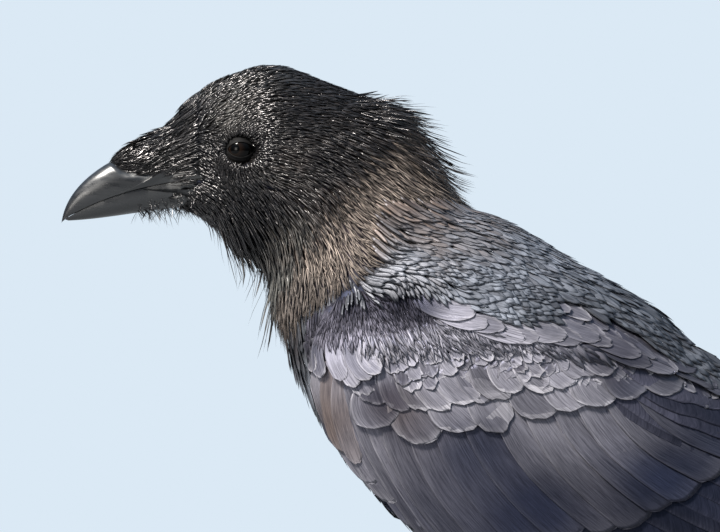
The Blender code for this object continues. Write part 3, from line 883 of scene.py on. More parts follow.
# longer pointed hackles that stand off the throat and the nape, in a band from start to end
hackleBands = {
    "throat": dict(start=(62, 300), end=(96, 262), wide=9, every=4, length=1.4),
    "nape": dict(start=(138, 362), end=(180, 328), wide=13, every=3, length=1.15),
}
for number, (bandName, band) in enumerate(hackleBands.items()):
    chord = np.array(band["end"], float) - np.array(band["start"])
    along = unit(chord)
    pool = np.concatenate([headRoots, neckRoots])
    reach = np.column_stack([backOf(pool), upOf(pool)]) - np.array(band["start"])
    run, off = reach @ along, reach @ np.array([along[1], -along[0]])
    near = (run > 0) & (run < np.linalg.norm(chord)) & (np.abs(off) < band["wide"])
    coatPiece("hackles_" + bandName, body, pool[near][::band["every"]], headPlumage,
              dict(coats["hackle"], lift=0.22, length=band["length"]), 26 + number)

trunkRoots = coatRoots(["trunk"], tightness=6, seed=16)
thighRoots = coatRoots(["thigh_left", "thigh_right"], tightness=6, seed=18)
coatPiece("trunk_coat", body, trunkRoots, contourPlumage, coats["broad"], 17)
coatPiece("thigh_coat", body, thighRoots, contourPlumage, coats["broad"], 19)
tailLow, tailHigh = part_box("tail")
tailRoots = coatRoots(["tail"], tightness=5.5, seed=20)
covertsEnd = 0.34  # how far back they go over the tail, as a share of it
tailRoots = tailRoots[tailRoots[:, 1] < tailLow.y + covertsEnd * (tailHigh.y - tailLow.y)]
coatPiece("tail_coverts", body, tailRoots, contourPlumage, coats["broad"], 23)


# The wings' feathers, row by row from the flight feathers up to the scapulars. Points are back
# from the wing's front and down from its top, in mm; both lines run from the wing's front to its
# back end. base, rise: how high the root lies and how far the tip comes up; stack: how much
# higher each next one lies; roll: how far its lower edge lies over its upper one; bow: how far it
# sags midway; follow: how closely it bends over the wing, inset: how far it stays from the top
# edge; round: how rounded the tip is; narrow: the root's width as a share of the whole; opens:
# where it reaches its full width; ragged, jitter, vary: chance in its edge, its place and its width.
wingRows = {
    "primaries": dict(
        count=10, width=24, bow=(30, 12), follow=0.15, inset=5, base=-1.8, rise=0.5, stack=0.07, round=2.4,
        narrow=0.5, rim=0.5,
        roots=[(15, 76), (24, 78), (34, 79), (44, 77), (54, 72)],
        tips=[(292, 210), (336, 224), (356, 230), (351, 224), (341, 213), (328, 199), (313, 184),
              (298, 167), (283, 151), (270, 138)]),
    "secondaries": dict(
        count=9, width=30, bow=(12, 8), follow=0.15, inset=5, base=-1.3, rise=0.6, stack=0.05, round=0.9,
        narrow=0.6, rim=0.4,
        roots=[(62, 72), (90, 64), (120, 54), (146, 46)],
        tips=[(262, 168), (266, 160), (265, 150), (262, 141), (257, 132), (251, 124), (245, 116),
              (238, 107), (232, 99)]),
    "tertials": dict(
        count=5, width=28, bow=6, base=-0.7, rise=0.8, stack=0.08, round=1.2, narrow=0.6, rim=0.3,
        roots=[(112, 34), (132, 26)], tips=[(228, 94), (222, 86), (214, 77), (205, 67), (192, 57)]),
    "primaryCoverts": dict(
        count=9, width=13, bow=5, base=-1.1, rise=0.9, round=2.2, narrow=0.6, rim=0.7,
        roots=[(5, 46), (16, 48), (30, 50)],
        tips=[(20, 86), (29, 98), (39, 109), (50, 119), (61, 128), (72, 136), (83, 142), (92, 147),
              (100, 150)]),
    "greaterCoverts": dict(
        count=11, width=27, bow=6, base=-1.2, rise=1.3, roll=1.0, round=0.8, narrow=0.5, rim=0.25,
        roots=[(36, 55), (62, 51), (95, 46), (125, 42), (151, 38)],
        tips=[(78, 126), (92, 125), (106, 122), (123, 120), (141, 116), (152, 113), (163, 106),
              (175, 100), (188, 90.5), (199, 81), (207, 73)]),
    "alula": dict(
        count=3, width=10, bow=3, base=-0.4, rise=0.8, roll=1.0, round=2.4, narrow=0.4, rim=0.8,
        worn=0.55, roots=[(3, 42), (8, 44), (13, 47)], tips=[(10.5, 76), (16, 85), (22, 90)]),
    "medianCoverts": dict(
        count=9, width=21, bow=2, base=-0.6, rise=1.3, round=1.35, narrow=0.12, rim=0.7, ragged=0.9,
        opens=0.85, jitter=1.6, vary=0.2, roots=[(24, 52), (55, 48), (90, 44), (120, 40), (143, 37)],
        tips=[(36, 70), (56, 77.5), (75, 74), (88, 73), (111, 66), (123, 64.5), (135, 62.5),
              (151, 59.5), (168, 57)]),
    "upperMedianCoverts": dict(
        count=13, width=16, bow=1, base=-0.2, rise=1.1, round=1.35, narrow=0.12, rim=0.6, ragged=1.0,
        opens=0.85, jitter=1.8, vary=0.25, roots=[(20, 42), (45, 42), (80, 38), (118, 33)],
        tips=[(26, 60), (34, 68), (53, 65), (65, 63), (78, 61), (89, 57), (98, 60), (112, 54), (126, 51),
              (140, 50)]),
    "marginalCoverts": dict(
        count=6, width=8, bow=3, base=-0.5, rise=2.4, stack=0.12, round=1.4, narrow=0.6, rim=0.5, ragged=0.3,
        jitter=0.5, roots=[(2, 27), (6, 27), (11, 29), (14, 31), (18, 32), (24, 33)],
        tips=[(3, 49), (6.5, 51), (15, 53.5), (21, 54.5), (27, 52), (32, 49)]),
}


def alongLine(points, shares):
    points = np.array(points, float)
    place = np.asarray(shares) * (len(points) - 1)
    index = np.minimum(place.astype(int), len(points) - 2)
    part = (place - index)[:, None]
    return points[index] * (1 - part) + points[index + 1] * part


# What holds for a vane where its row says nothing else. columns: points across; margin: how far it
# stays from the wing's lower edge, camber, twist: how high its middle and its edge come, all as
# shares of its width; thick, shaft: of the vane and its shaft in mm.
vaneForm = {"columns": 13, "opens": 0.6, "ragged": 0.5, "follow": 0.3, "stack": 0, "worn": 0,
            "inset": 0, "jitter": 0.7, "vary": 0.08, "margin": 0.35, "camber": 0.011, "twist": 0.006,
            "thick": 0.12, "shaft": 0.10}


def vaneSheaf(surface, centres, normals, sign, length, width, row, random):
    # Broad vanes laid on the surface: each point across follows it, and the tip is a ragged arc.
    # The upper edge lies under the next feather and the lower edge over the one before.
    row = {**vaneForm, **row}
    count, stations = centres.shape[:2]
    columns = row["columns"]
    along = stationsOf(stations)
    across = np.sin(np.linspace(-1, 1, columns) * math.pi / 2)
    run = unit(np.gradient(centres, axis=1))
    sideways = unit(np.cross(run, normals)) * sign
    opened = 1 - (1 - np.clip(along / row["opens"], 0, 1)) ** 2
    profile = row["narrow"] + (1 - row["narrow"]) * opened
    half = width[:, None] / 2 * profile[None, :]
    arc = row["round"] * (1 - np.sqrt(1 - 0.96 * across**2)) * (width / 2 / length)[:, None]
    ragged = random.normal(0, 1, (count, columns)) * row["ragged"] * mm / length[:, None]
    pull = -(arc + np.abs(ragged))[:, None, :] * along[None, :, None] * length[:, None, None]
    flat = (centres[:, :, None, :] + sideways[:, :, None, :] * (half[:, :, None] * across)[..., None]
            + run[:, :, None, :] * pull[..., None])
    places, _, _ = surface.nearest(flat)
    up = normals[:, :, None, :]
    sag = ((places - flat) * up).sum(-1)
    sag = np.clip(sag, -row["follow"] * half[:, :, None], 0.2 * half[:, :, None])
    camber = row["camber"] * width[:, None, None]
    roll = row.get("roll", 1.3 * row["camber"] * row["width"] + 0.22) * mm
    height = (row["base"] + row["rise"] * along[None, :, None]) * mm + roll * across[None, None, :]
    height = height + (np.arange(count) * row["stack"] * mm)[:, None, None]
    height = height + camber * (1 - across**2) + np.exp(-(across / 0.05) ** 2) * row["shaft"] * mm
    twist = random.normal(0, row["twist"], count)[:, None, None] * half[:, :, None] * across
    top = flat + up * (sag + height + twist)[..., None]
    under = top[:, :, [columns - 1, columns // 2, 0]] - up * row["thick"] * mm
    under[:, :, 1] -= normals * row["shaft"] * mm
    rings = np.concatenate([top, under], axis=2)
    around = np.concatenate([across, [1, 0, -1]])
    # pale edge and tip: partly the fringe's own colour, partly a painted edge highlight
    edge = np.maximum(np.abs(around)[None, :] ** 10 * 0.7, along[:, None] ** 24)
    rim = edge[None] * row["rim"] * random.uniform(*differ["vaneRim"], count)[:, None, None]
    look = lookOf(rings, rim, random)
    look[..., 0] = np.maximum(look[..., 0], row["worn"])
    if sign < 0:  # turned round, so that the faces of the right wing also point outwards
        order = list(range(columns))[::-1] + [columns + 2, columns + 1, columns]
        rings, look, around = rings[:, :, order], look[:, :, order], around[order]
    return {"rings": rings, "top": columns, "across": around, "along": along[:, None],
            "half": width[:, None, None] / 2, "length": length, "look": look}


def wingFeathers(row, side, seed, stations=12):
    row = {**vaneForm, **row}
    random = np.random.default_rng(seed)
    sign = signs[side]
    low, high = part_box("wing_" + side)
    count = row["count"]
    shares = np.linspace(0, 1, count)
    roots, tips = alongLine(row["roots"], shares), alongLine(row["tips"], shares)
    tips = tips + random.normal(0, row["jitter"], (count, 2))
    along = stationsOf(stations)
    chord = tips - roots
    length = np.linalg.norm(chord, axis=1)
    down = np.column_stack([-chord[:, 1], chord[:, 0]]) / length[:, None]  # square to it, downwards
    bow = row["bow"] if isinstance(row["bow"], tuple) else (row["bow"], row["bow"])
    bend = np.linspace(*bow, count)[:, None] * np.sin(np.pi * along)[None, :]
    path = roots[:, None] + chord[:, None] * along[None, :, None] + down[:, None] * bend[..., None]
    top, bottom = np.interp(path[..., 0], *wingTop[:, :2].T), np.interp(path[..., 0], *wingBottom.T)
    path[..., 1] = np.maximum(path[..., 1], top + row["inset"])
    path[..., 1] = np.minimum(path[..., 1], bottom - row["margin"] * row["width"])
    seen = np.stack([np.zeros(path.shape[:2]), low.y + path[..., 0] * mm, high.z - path[..., 1] * mm], -1)
    centres, normals = whole.fromSide(seen, sign)
    width = row["width"] * mm * random.uniform(1 - row["vary"], 1 + row["vary"], count)
    return vaneSheaf(whole, centres, unit(normals), sign, length * mm, width, row, random)


def joinSheaves(sheaves):
    joined = {key: np.concatenate([s[key] for s in sheaves]) for key in ("rings", "half", "length", "look")}
    return dict(sheaves[0], **joined)


wingSides = (("left", 0), ("right", 40))  # each side's own random draws
# long soft feathers that lie over the wing's top edge, in two layers
scapulars = dict(
    count=15, width=10, bow=1.5, base=0.2, rise=1.8, round=2.4, narrow=0.2, rim=0.4, ragged=0.6,
    jitter=1.2, vary=0.2, heading=(15, 19, 23, 28, 30, 33), reach=(30, 34, 38, 40, 42, 42),
    tips=[(74, 23), (84, 28), (94, 31.5), (106, 34), (118, 35), (129, 36),
          (140, 39), (152, 47), (166, 49), (178, 52), (191, 60)])
# The small feathers over the wing's upper half, each kind inside its own closed line in side view:
# from the velvety coverts over the front, through the streaked and ragged ones below them, to the
# soft scapulars, the shoulder's plumes and the back's own feathers above them. gap: between roots.
velvet = dict(coats["velvet"], gap=0.72, line=[
    (-3, 34), (-2, 25), (5, 20), (11, 16), (20, 12), (44, 12), (58, 17), (70, 24), (60, 26), (46, 28),
    (34, 33), (12, 32), (3, 33)])
streaks = dict(
    coats["velvet"], length=1.15, width=0.6, over=1.2, wander=0.2, tilt=0.25, rim=0.4, gap=0.9, line=[
        (22, 31), (36, 30), (50, 25), (62, 22), (84, 27), (112, 32), (124, 35), (104, 36), (80, 34),
        (56, 35), (34, 37), (22, 35)])
raggedCoverts = {
    "steps": 7, "length": 1.0, "width": 2.4, "wander": 0.22, "root": 0.03, "over": 1.7, "opens": 0.9,
    "narrow": 0.15, "round": 1.4, "ragged": 0.9, "rim": 0.6, "base": -0.2, "rise": 0.5, "roll": 0.0,
    "columns": 9, "gap": 3.0, "line": [
        (28, 36), (50, 36), (80, 34), (108, 34), (140, 38), (136, 47), (112, 47), (84, 47), (55, 49),
        (40, 49)]}
softShoulder = {
    "steps": 8, "length": 1.6, "width": 0.85, "wander": 0.05, "root": 0.05, "over": 1.3, "opens": 0.7,
    "narrow": 0.2, "round": 2.6, "ragged": 0.6, "rim": 0.5, "base": -0.2, "rise": 0.5, "roll": 0.0,
    "columns": 9, "gap": 3.6, "line": [
        (76, 6), (96, 10), (125, 22), (152, 36), (180, 54), (200, 70), (186, 58), (160, 46), (138, 34),
        (118, 30), (98, 26), (84, 20), (76, 12)]}
flatCrown = dict(coats["broad"], crown=(0, 0.06, 0.08, 0.06, 0))
plumes = dict(
    flatCrown, over=2.2, root=0.12, length=0.9, width=0.6, wander=0.04, tilt=0.02, rim=0.35, point=1.8,
    gap=1.7, line=[
        (14, 19), (19, 9), (32, 0), (58, -3), (84, 0), (98, 10), (102, 22), (86, 22), (72, 19), (60, 13),
        (48, 10.5), (34, 11.5), (22, 15)])
mantle = dict(
    flatCrown, over=1.9, root=0.06, length=1.1, width=0.7, tilt=0.1, point=1.9, rim=0.4, gap=2.1,
    leastOut=-0.25, line=[
        (30, -30), (60, -30), (130, 0), (200, 40), (250, 85), (250, 112), (196, 60), (141, 28), (125, 19),
        (112, 14), (90, 8), (63, 4), (36, 1), (26, -8)])
lining = dict(coats["broad"], width=6.5, wander=0.02, tilt=0.02, rim=0.12, root=0.01, over=0.1)

wholeMiddles = whole.points[whole.faces].mean(axis=1)
wholeNode = nodeAt(wholeMiddles)
facesOut = whole.faceNormals[:, 0] * np.sign(wholeMiddles[:, 0])  # 1 outwards, -1 towards the middle


def coverWing(grow, name, settings, material, side, seed, slotName):
    # grows one kind of small feathers; leastOut: how far outwards the faces under them look
    low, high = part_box("wing_" + side)
    wanted = insideLine(settings["line"], *onWingSide(wholeMiddles, low, high))
    wanted &= (wholeMiddles[:, 0] * signs[side] > 4 * mm) & (facesOut > settings.get("leastOut", -1.1))
    roots = evenRoots(whole, wanted, settings["gap"], seed)
    grow(name + side, whole, roots, material, settings, seed + 1, slotName=slotName)


def shoulderRow():
    # the scapulars' roots, from each one's tip, heading and length
    tips = alongLine(scapulars["tips"], np.linspace(0, 1, scapulars["count"]))
    shares = np.linspace(0, 1, len(tips))
    turn = np.radians(np.interp(shares, np.linspace(0, 1, 6), scapulars["heading"]))
    reach = np.interp(shares, np.linspace(0, 1, 6), scapulars["reach"])
    ahead = np.column_stack([np.cos(turn), np.sin(turn)])
    return dict(scapulars, roots=(tips - ahead * reach[:, None]).tolist(), tips=tips.tolist())


# the vanes on the wing's edges and inner face, at four places from the wing's front backwards, in
# mm: how long they are, and how long a one ends inside the wing's outline
edgeVanes = {"back": (0, 60, 200, 340), "length": (8, 13, 20, 22), "fits": (4, 8, 18, 22)}


def alongEdge(places, random):
    # these vanes run as the nearer of the wing's two outlines does
    back, down = onWingSide(places)
    slopes, ends = [], []
    for line in (wingTop[:, :2], wingBottom):
        ends.append(np.interp(back, *line.T))
        slopes.append(np.arctan2(np.interp(back + 8, *line.T) - ends[-1], 8))
    share = np.clip((down - ends[0]) / np.maximum(ends[1] - ends[0], 1), 0, 1)
    angle = slopes[0] * (1 - share) + slopes[1] * share
    length = np.interp(back, edgeVanes["back"], edgeVanes["length"]) * mm
    length = length * random.uniform(*differ["edgeLength"], len(places))
    return length, np.clip(angle, math.radians(8), math.radians(85))


def endsInside(roots):
    # true where such a vane ends inside the wing's outline
    back, down = onWingSide(roots)
    reach = np.interp(back, edgeVanes["back"], edgeVanes["fits"])
    top, bottom = np.interp(back + reach, *wingTop[:, :2].T), np.interp(back, *wingBottom.T)
    return (down + 0.6 * reach > top) & (down < bottom - 4)


wingBack, _ = onWingSide(wholeMiddles)
# the faces that look inwards, and round the wing's front those that look ahead as well
facesIn = (facesOut < -0.35) & (wingBack < 345) | (facesOut < 0.3) & (wingBack < 12)
for side, shift in wingSides:
    edges = (wholeNode == nodeOrder.index("wing_" + side)) & facesIn
    edgeRoots = evenRoots(whole, edges, gap=4.6, seed=130 + shift)
    coatPiece("wing_edges_" + side, whole, edgeRoots[endsInside(edgeRoots)], flightPlumage, lining,
              131 + shift, alongEdge, slotName="flight_feathers")
    rows = list(wingRows.values())  # three rows of flight feathers, then the coverts
    flight = [wingFeathers(row, side, 140 + k + shift, 20) for k, row in enumerate(rows[:3])]
    buildFeathers("flight_feathers_" + side, joinSheaves(flight), flightPlumage)
    coverts = [wingFeathers(row, side, 150 + k + shift) for k, row in enumerate(rows[3:])]
    buildFeathers("wing_coverts_" + side, joinSheaves(coverts), covertPlumage)
    coverWing(strewnFans, "lesser_coverts_", raggedCoverts, covertPlumage, side, 160 + shift,
              "flight_feathers")
    coverWing(coatPiece, "streaked_coverts_", streaks, covertPlumage, side, 165 + shift,
              "flight_feathers")
    coverWing(coatPiece, "velvet_coverts_", velvet, velvetPlumage, side, 170 + shift, "flight_feathers")
    buildFeathers("scapulars_" + side, wingFeathers(shoulderRow(), side, 180 + shift), covertPlumage)
    coverWing(strewnFans, "soft_scapulars_", softShoulder, covertPlumage, side, 182 + shift,
              "flight_feathers")
    coverWing(coatPiece, "shoulder_plumes_", plumes, contourPlumage, side, 186 + shift, "plumage")
    coverWing(coatPiece, "mantle_coat_", mantle, contourPlumage, side, 190 + shift, "plumage")


# The tail: six pairs of broad feathers, the middle pair on top and longest. starts: how far back
# they start, as a share of the tail; ends: how far the middle pair and the outer ones stay from its
# end; spread: as a share of its half width, of which they use one part at the roots and add the
# other by the tips; rank: how much higher the middle pair lies. Lengths in mm.
tailFeathers = {"count": 12, "stations": 20, "starts": 0.18, "ends": (2, 42), "spread": 0.72,
                "parts": (0.45, 0.5), "rank": 1.3, "vane": dict(
                    width=27, base=-0.9, rise=0.3, roll=0.0, round=1.0, narrow=0.7, rim=0.3, ragged=0.3)}


def tailFan(name, upper, seed):
    random = np.random.default_rng(seed)
    count, stations, row = (tailFeathers[key] for key in ("count", "stations", "vane"))
    along = stationsOf(stations)
    place = np.linspace(-1, 1, count)
    place = place[np.argsort(-np.abs(place))]
    start = tailLow.y + tailFeathers["starts"] * (tailHigh.y - tailLow.y)
    middleEnd, outerEnd = tailFeathers["ends"]
    end = tailHigh.y - (middleEnd + outerEnd * np.abs(place) ** 1.6) * mm
    atRoot, byTip = tailFeathers["parts"]
    x = place[:, None] * tailHigh.x * tailFeathers["spread"] * (atRoot + byTip * along[None, :])
    y = start + (end - start)[:, None] * along[None, :]
    centres, normals = np.empty((count, stations, 3)), np.empty((count, stations, 3))
    fromHeight, way = (0.4, (0, 0, -1)) if upper else (-0.05, (0, 0, 1))  # rays down or up to the tail
    for i in range(count):
        for k in range(stations):
            hit = body.tree.ray_cast((x[i, k], y[i, k], fromHeight), way, 0.5)
            if hit[0] is None:
                hit = body.tree.find_nearest((x[i, k], y[i, k], tailLow.z + (1 - along[k]) * 0.1))
            centres[i, k] = hit[0]
            normals[i, k] = body.faceNormals[hit[2]]
    sheaf = vaneSheaf(body, centres, normals, 1, end - start, np.full(count, row["width"] * mm), row, random)
    rank = (tailFeathers["rank"] * (1 - np.abs(place)) * mm)[:, None, None, None]
    sheaf["rings"] = sheaf["rings"] + normals[:, :, None, :] * rank
    buildFeathers(name, sheaf, flightPlumage)


tailFan("tail_feathers", True, 150)
tailFan("tail_feathers_under", False, 151)


# eyes: a smooth wet ball with a dark brown iris round a black pupil
# The pupil's and the iris's radius and the colours' whole reach in mm, and where the left eye looks.
eyeLook = {"iris": "#170f0a", "rim": "#040404", "pupil": 2.4, "irisEdge": 5.0, "reach": 8,
           "gaze": (0.9, -0.42, 0.04)}


def eyeMaterial(side):
    material, tree, shader = newMaterial("wet_brown_iris_" + side, {
        "Roughness": 0.12, "IOR": 1.33, "Specular IOR Level": 0.3})
    place = addNode(tree, "ShaderNodeTexCoord")
    gaze = Vector((eyeLook["gaze"][0] * signs[side], *eyeLook["gaze"][1:])).normalized()
    low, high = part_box("eye_" + side)
    away = addNode(tree, "ShaderNodeVectorMath", {
        "operation": "DISTANCE", 1: eyes[side] + gaze * (high.z - low.z) / 2}, {0: place.outputs["Object"]})
    reach = eyeLook["reach"]
    share = addNode(tree, "ShaderNodeMath", {"operation": "DIVIDE", 1: reach * mm},
                    {0: away.outputs["Value"]})
    ramp = addNode(tree, "ShaderNodeValToRGB", None, {"Fac": share.outputs[0]})
    stops = ramp.color_ramp.elements
    stops[0].position, stops[0].color = eyeLook["pupil"] / reach - 0.02, (0.001, 0.001, 0.001, 1)
    stops[1].position, stops[1].color = eyeLook["pupil"] / reach + 0.02, linearColour(eyeLook["iris"])
    last = stops.new(eyeLook["irisEdge"] / reach)
    last.color = linearColour(eyeLook["rim"])
    tree.links.new(ramp.outputs["Color"], shader.inputs["Base Color"])
    return material


lidSkin = grainedMaterial(
    "dark_wrinkled_lid_skin",
    {"Base Color": linearColour("#0a0909"), "Roughness": 0.7, "Specular IOR Level": 0.2},
    grain={"Scale": 2200.0, "Detail": 3.0}, bump=(0.6, 0.15))
# Rings of skin round each eye. half: their size back and up; wide, thick: of the ring itself;
# stand: how far it stands off the eyeball. All in mm.
lids = {
    "lid": dict(half=(7.6, 5.7), wide=2.1, thick=0.7, stand=0.15),
    "lidFold": dict(half=(7.0, 5.0), wide=0.3, thick=0.5, stand=0.4),
    "lidEdge": dict(half=(5.8, 3.85), wide=0.45, thick=0.5, stand=0.35),
}


# the plain ring that each lid starts as, in metres, how far the eye's corners draw out, and how near
# the middle plane a lid may come, as a share of the eyeball's radius
hoop = {"major": 0.01, "minor": 0.001, "corners": 0.10, "leastOut": 0.35}


def makeEye(side):
    centre = eyes[side]
    low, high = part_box("eye_" + side)
    radius = (high.z - low.z) / 2
    bpy.ops.object.select_all(action="DESELECT")
    bpy.ops.mesh.primitive_uv_sphere_add(segments=64, ring_count=40, radius=radius, location=centre)
    ball = bpy.context.active_object
    ball.name = "eyeball_" + side
    bpy.ops.object.transform_apply(location=True, rotation=True, scale=True)
    bpy.ops.object.shade_smooth()
    ball.data.materials.append(eyeMaterial(side))
    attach(ball, "root")
    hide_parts("eye_" + side)
    for lidName, lid in lids.items():
        bpy.ops.object.select_all(action="DESELECT")
        bpy.ops.mesh.primitive_torus_add(
            major_segments=72, minor_segments=12, major_radius=hoop["major"], minor_radius=hoop["minor"],
            location=(0, 0, 0))
        ring = bpy.context.active_object
        ring.name = lidName + "_" + side
        thick = lid["thick"] * mm
        for vert in ring.data.vertices:
            turn = math.atan2(vert.co.y, vert.co.x)
            out = (math.hypot(vert.co.x, vert.co.y) - hoop["major"]) / hoop["minor"]
            over = vert.co.z / hoop["minor"]
            corner = 1 + hoop["corners"] * abs(math.cos(turn)) ** 6
            y = math.cos(turn) * (lid["half"][0] * corner + out * lid["wide"]) * mm
            z = math.sin(turn) * (lid["half"][1] + out * lid["wide"]) * mm
            x = math.sqrt(max(radius**2 - y**2 - z**2, (hoop["leastOut"] * radius) ** 2))
            x += lid["stand"] * mm + over * thick * 0.5
            vert.co = (centre.x + x * signs[side], centre.y + y, centre.z + z)
        editWhole(ring, bpy.ops.mesh.normals_make_consistent, inside=False)
        bpy.ops.object.shade_smooth()
        ring.data.materials.append(lidSkin)
        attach(ring, "root")


for side in signs:
    makeEye(side)
print("eyes")

# bill and claws: black keratin horn, worn smooth, with fine growth lines along it
horn = grainedMaterial(
    "black_keratin_horn", {"Roughness": 0.3, "IOR": 1.56, "Specular IOR Level": 0.75},
    grain={"Scale": 1.0, "Detail": 5.0, "Roughness": 0.6}, bump=(0.5, 0.06),
    tones=("#08090a", "#1b1c1f"), dull=(0.3, 0.14),
    stretch={"Scale": (500, 80, 500), "Rotation": (0.3, 0, 0)})
jointOverlap = 0.35  # by how much a toe, claw or shank grows to close the gaps at its joints, in mm


def smoothedCopy(name, nodeName, voxel, smoothing, material):
    piece = smoothForm(name, [nodeName], voxel, smoothing)
    points = pointsOf(piece.data) + normalsOf(piece.data) * jointOverlap * mm
    points[:, 2] = np.maximum(points[:, 2], 0)
    movePoints(piece.data, points)
    selectOnly(piece)
    bpy.ops.object.shade_smooth()
    piece.data.materials.append(material)
    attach(piece, "root")
    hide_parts(nodeName)
    return piece


# The bill's edges in the middle plane, from under the feathers to the tip: back from the tip and up
# from the floor, in mm, each a cubic curve. halfWidths: back from the tip, half as wide; lips: how
# far each half stays from the mouth's line; lowerWidth: the lower half's width as a share of the
# upper's; round: how full its sides are, up and out; hidden: how deep its base lies in the feathers,
# over a fade, behind a start, and above lowerEdge in the lower half.
billShape = {
    "culmen": ((57.5, 338), (33, 332.3), (3.2, 320.3), (0.2, 297.2)),
    "mouth": ((73, 317.6), (50, 316.6), (26, 312.5), (1.6, 299)),
    "gonys": ((73, 305), (48, 305.5), (25, 299), (3.4, 298.2)),
    "halfWidths": ((0, 0.6), (8, 3.4), (20, 6.6), (30, 8.4), (40, 9.6), (50, 11.8), (60, 15.4), (73, 20)),
    "rings": 72, "sides": 26, "lips": 0.18, "lowerWidth": 0.94, "round": (0.8, 0.75),
    "hidden": 0.6, "fade": 2.5, "start": 22, "lowerEdge": 307,
}


def bezierPoint(points, share):
    a, b, c, d = (np.array(p, float) for p in points)
    return (a * (1 - share) ** 3 + b * 3 * share * (1 - share) ** 2 + c * 3 * share**2 * (1 - share)
            + d * share**3)


def fillEnds():
    bpy.ops.mesh.select_all(action="DESELECT")
    bpy.ops.mesh.select_non_manifold()
    bpy.ops.mesh.fill()


def billHalf(name, farEdge, nodeName):
    # a grid primitive wrapped round each half of the bill, its open ends filled
    rings, sides = billShape["rings"], billShape["sides"]
    bpy.ops.object.select_all(action="DESELECT")
    bpy.ops.mesh.primitive_grid_add(x_subdivisions=rings, y_subdivisions=sides, size=2, location=(0, 0, 0))
    piece = bpy.context.active_object
    piece.name = name
    upper = farEdge == "culmen"
    lip, flare = (billShape["lips"], 1.0) if upper else (-billShape["lips"], billShape["lowerWidth"])
    roundUp, roundOut = billShape["round"]
    for vert in piece.data.vertices:
        share = (vert.co.x + 1) / 2
        turn = math.pi * (vert.co.y + 1) / 2
        mouth, far = bezierPoint(billShape["mouth"], share), bezierPoint(billShape[farEdge], share)
        mouth[1] += lip
        reach = math.sin(turn) ** roundUp
        width = np.interp(mouth[0], *zip(*billShape["halfWidths"]))
        out = math.copysign(abs(math.cos(turn)) ** roundOut, math.cos(turn)) * width * flare
        back, up = mouth + (far - mouth) * reach
        vert.co = (out * mm, cadLow.y + back * mm, up * mm)
    points = pointsOf(piece.data)
    hidden = ~onBareBill(points) & (backOf(points) > billShape["start"])
    places, ups, _ = body.nearest(points[hidden])
    proud = ((points[hidden] - places) * ups).sum(axis=1)[:, None]
    upperEdge = np.interp(backOf(points[hidden]), *zip(*bareLine[:7]))
    edge = upperEdge if upper else billShape["lowerEdge"]
    share = np.clip((upOf(points[hidden]) - edge) / billShape["fade"], 0, 1)[:, None]
    points[hidden] -= ups * np.clip(proud + billShape["hidden"] * mm, 0, None) * share
    movePoints(piece.data, points)
    editWhole(piece, bpy.ops.mesh.remove_doubles, threshold=weldGap)
    editWhole(piece, fillEnds)
    editWhole(piece, bpy.ops.mesh.normals_make_consistent, inside=False)
    applyModifier(piece, "TRIANGULATE")
    bpy.ops.object.shade_smooth_by_angle(angle=math.radians(50))
    piece.data.materials.append(horn)
    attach(piece, "root")
    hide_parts(nodeName)


billHalf("bill_horn_upper", "culmen", "bill_upper")
billHalf("bill_horn_lower", "gonys", "bill_lower")
mandible = Surface(bpy.data.objects["bill_horn_lower"])
middles = mandible.points[mandible.faces].mean(axis=1)
underneath = (backOf(middles) > 35) & (backOf(middles) < 66) & (mandible.faceNormals[:, 2] < -0.3)
chinHairs = dict(coats["bristle"], width=0.2, over=-0.2, lift=0.7, stiff=1, rim=0)
coatPiece("chin_hairs", mandible, evenRoots(mandible, underneath, gap=1.1, seed=24), headPlumage,
          chinHairs, 25, hangingHairs)

# bare legs and toes: black scutes, horny plates that overlap down the shank and along each toe
scuteHorn = grainedMaterial(
    "black_horny_scutes", {"Roughness": 0.42, "IOR": 1.5},
    grain={"Scale": 1500.0, "Detail": 4.0}, bump=(0.5, 0.1), tones=("#0f0f11", "#262528"))
# each plate's pitch and how far its lower edge stands up, on shank and toes; how far a claw's base
# grows into its toe, and over what length of the claw. In mm.
scutes = {"pitch": 4.6, "step": 0.32, "toePitch": 3.4, "toeStep": 0.22, "clawGrows": 1.7, "clawOver": 2.5}
shankWay = Vector((0.0, -0.26, -0.97))


def plateStep(piece, axisStart, axis, pitch, step, front):
    # raises each plate's lower edge, so that the plates overlap like shingles
    mesh = piece.data
    points, normals = pointsOf(mesh), normalsOf(mesh)
    run = ((points - np.array(axisStart)) @ np.array(axis)) / (pitch * mm)
    rise = (run % 1.0) ** 1.5
    facing = np.clip((normals @ np.array(front) + 0.35) / 0.6, 0, 1)
    points += normals * (rise * facing * step * mm)[:, None]
    points[:, 2] = np.maximum(points[:, 2], 0)
    movePoints(mesh, points)


def lengthenBase(claw, toward):
    # the claw's base reaches a little way into the toe
    points = pointsOf(claw.data)
    run = points @ np.array(toward)
    near = np.clip(1 - (run - run.min()) / (scutes["clawOver"] * mm), 0, 1)
    movePoints(claw.data, points - np.array(toward) * (near * scutes["clawGrows"] * mm)[:, None])


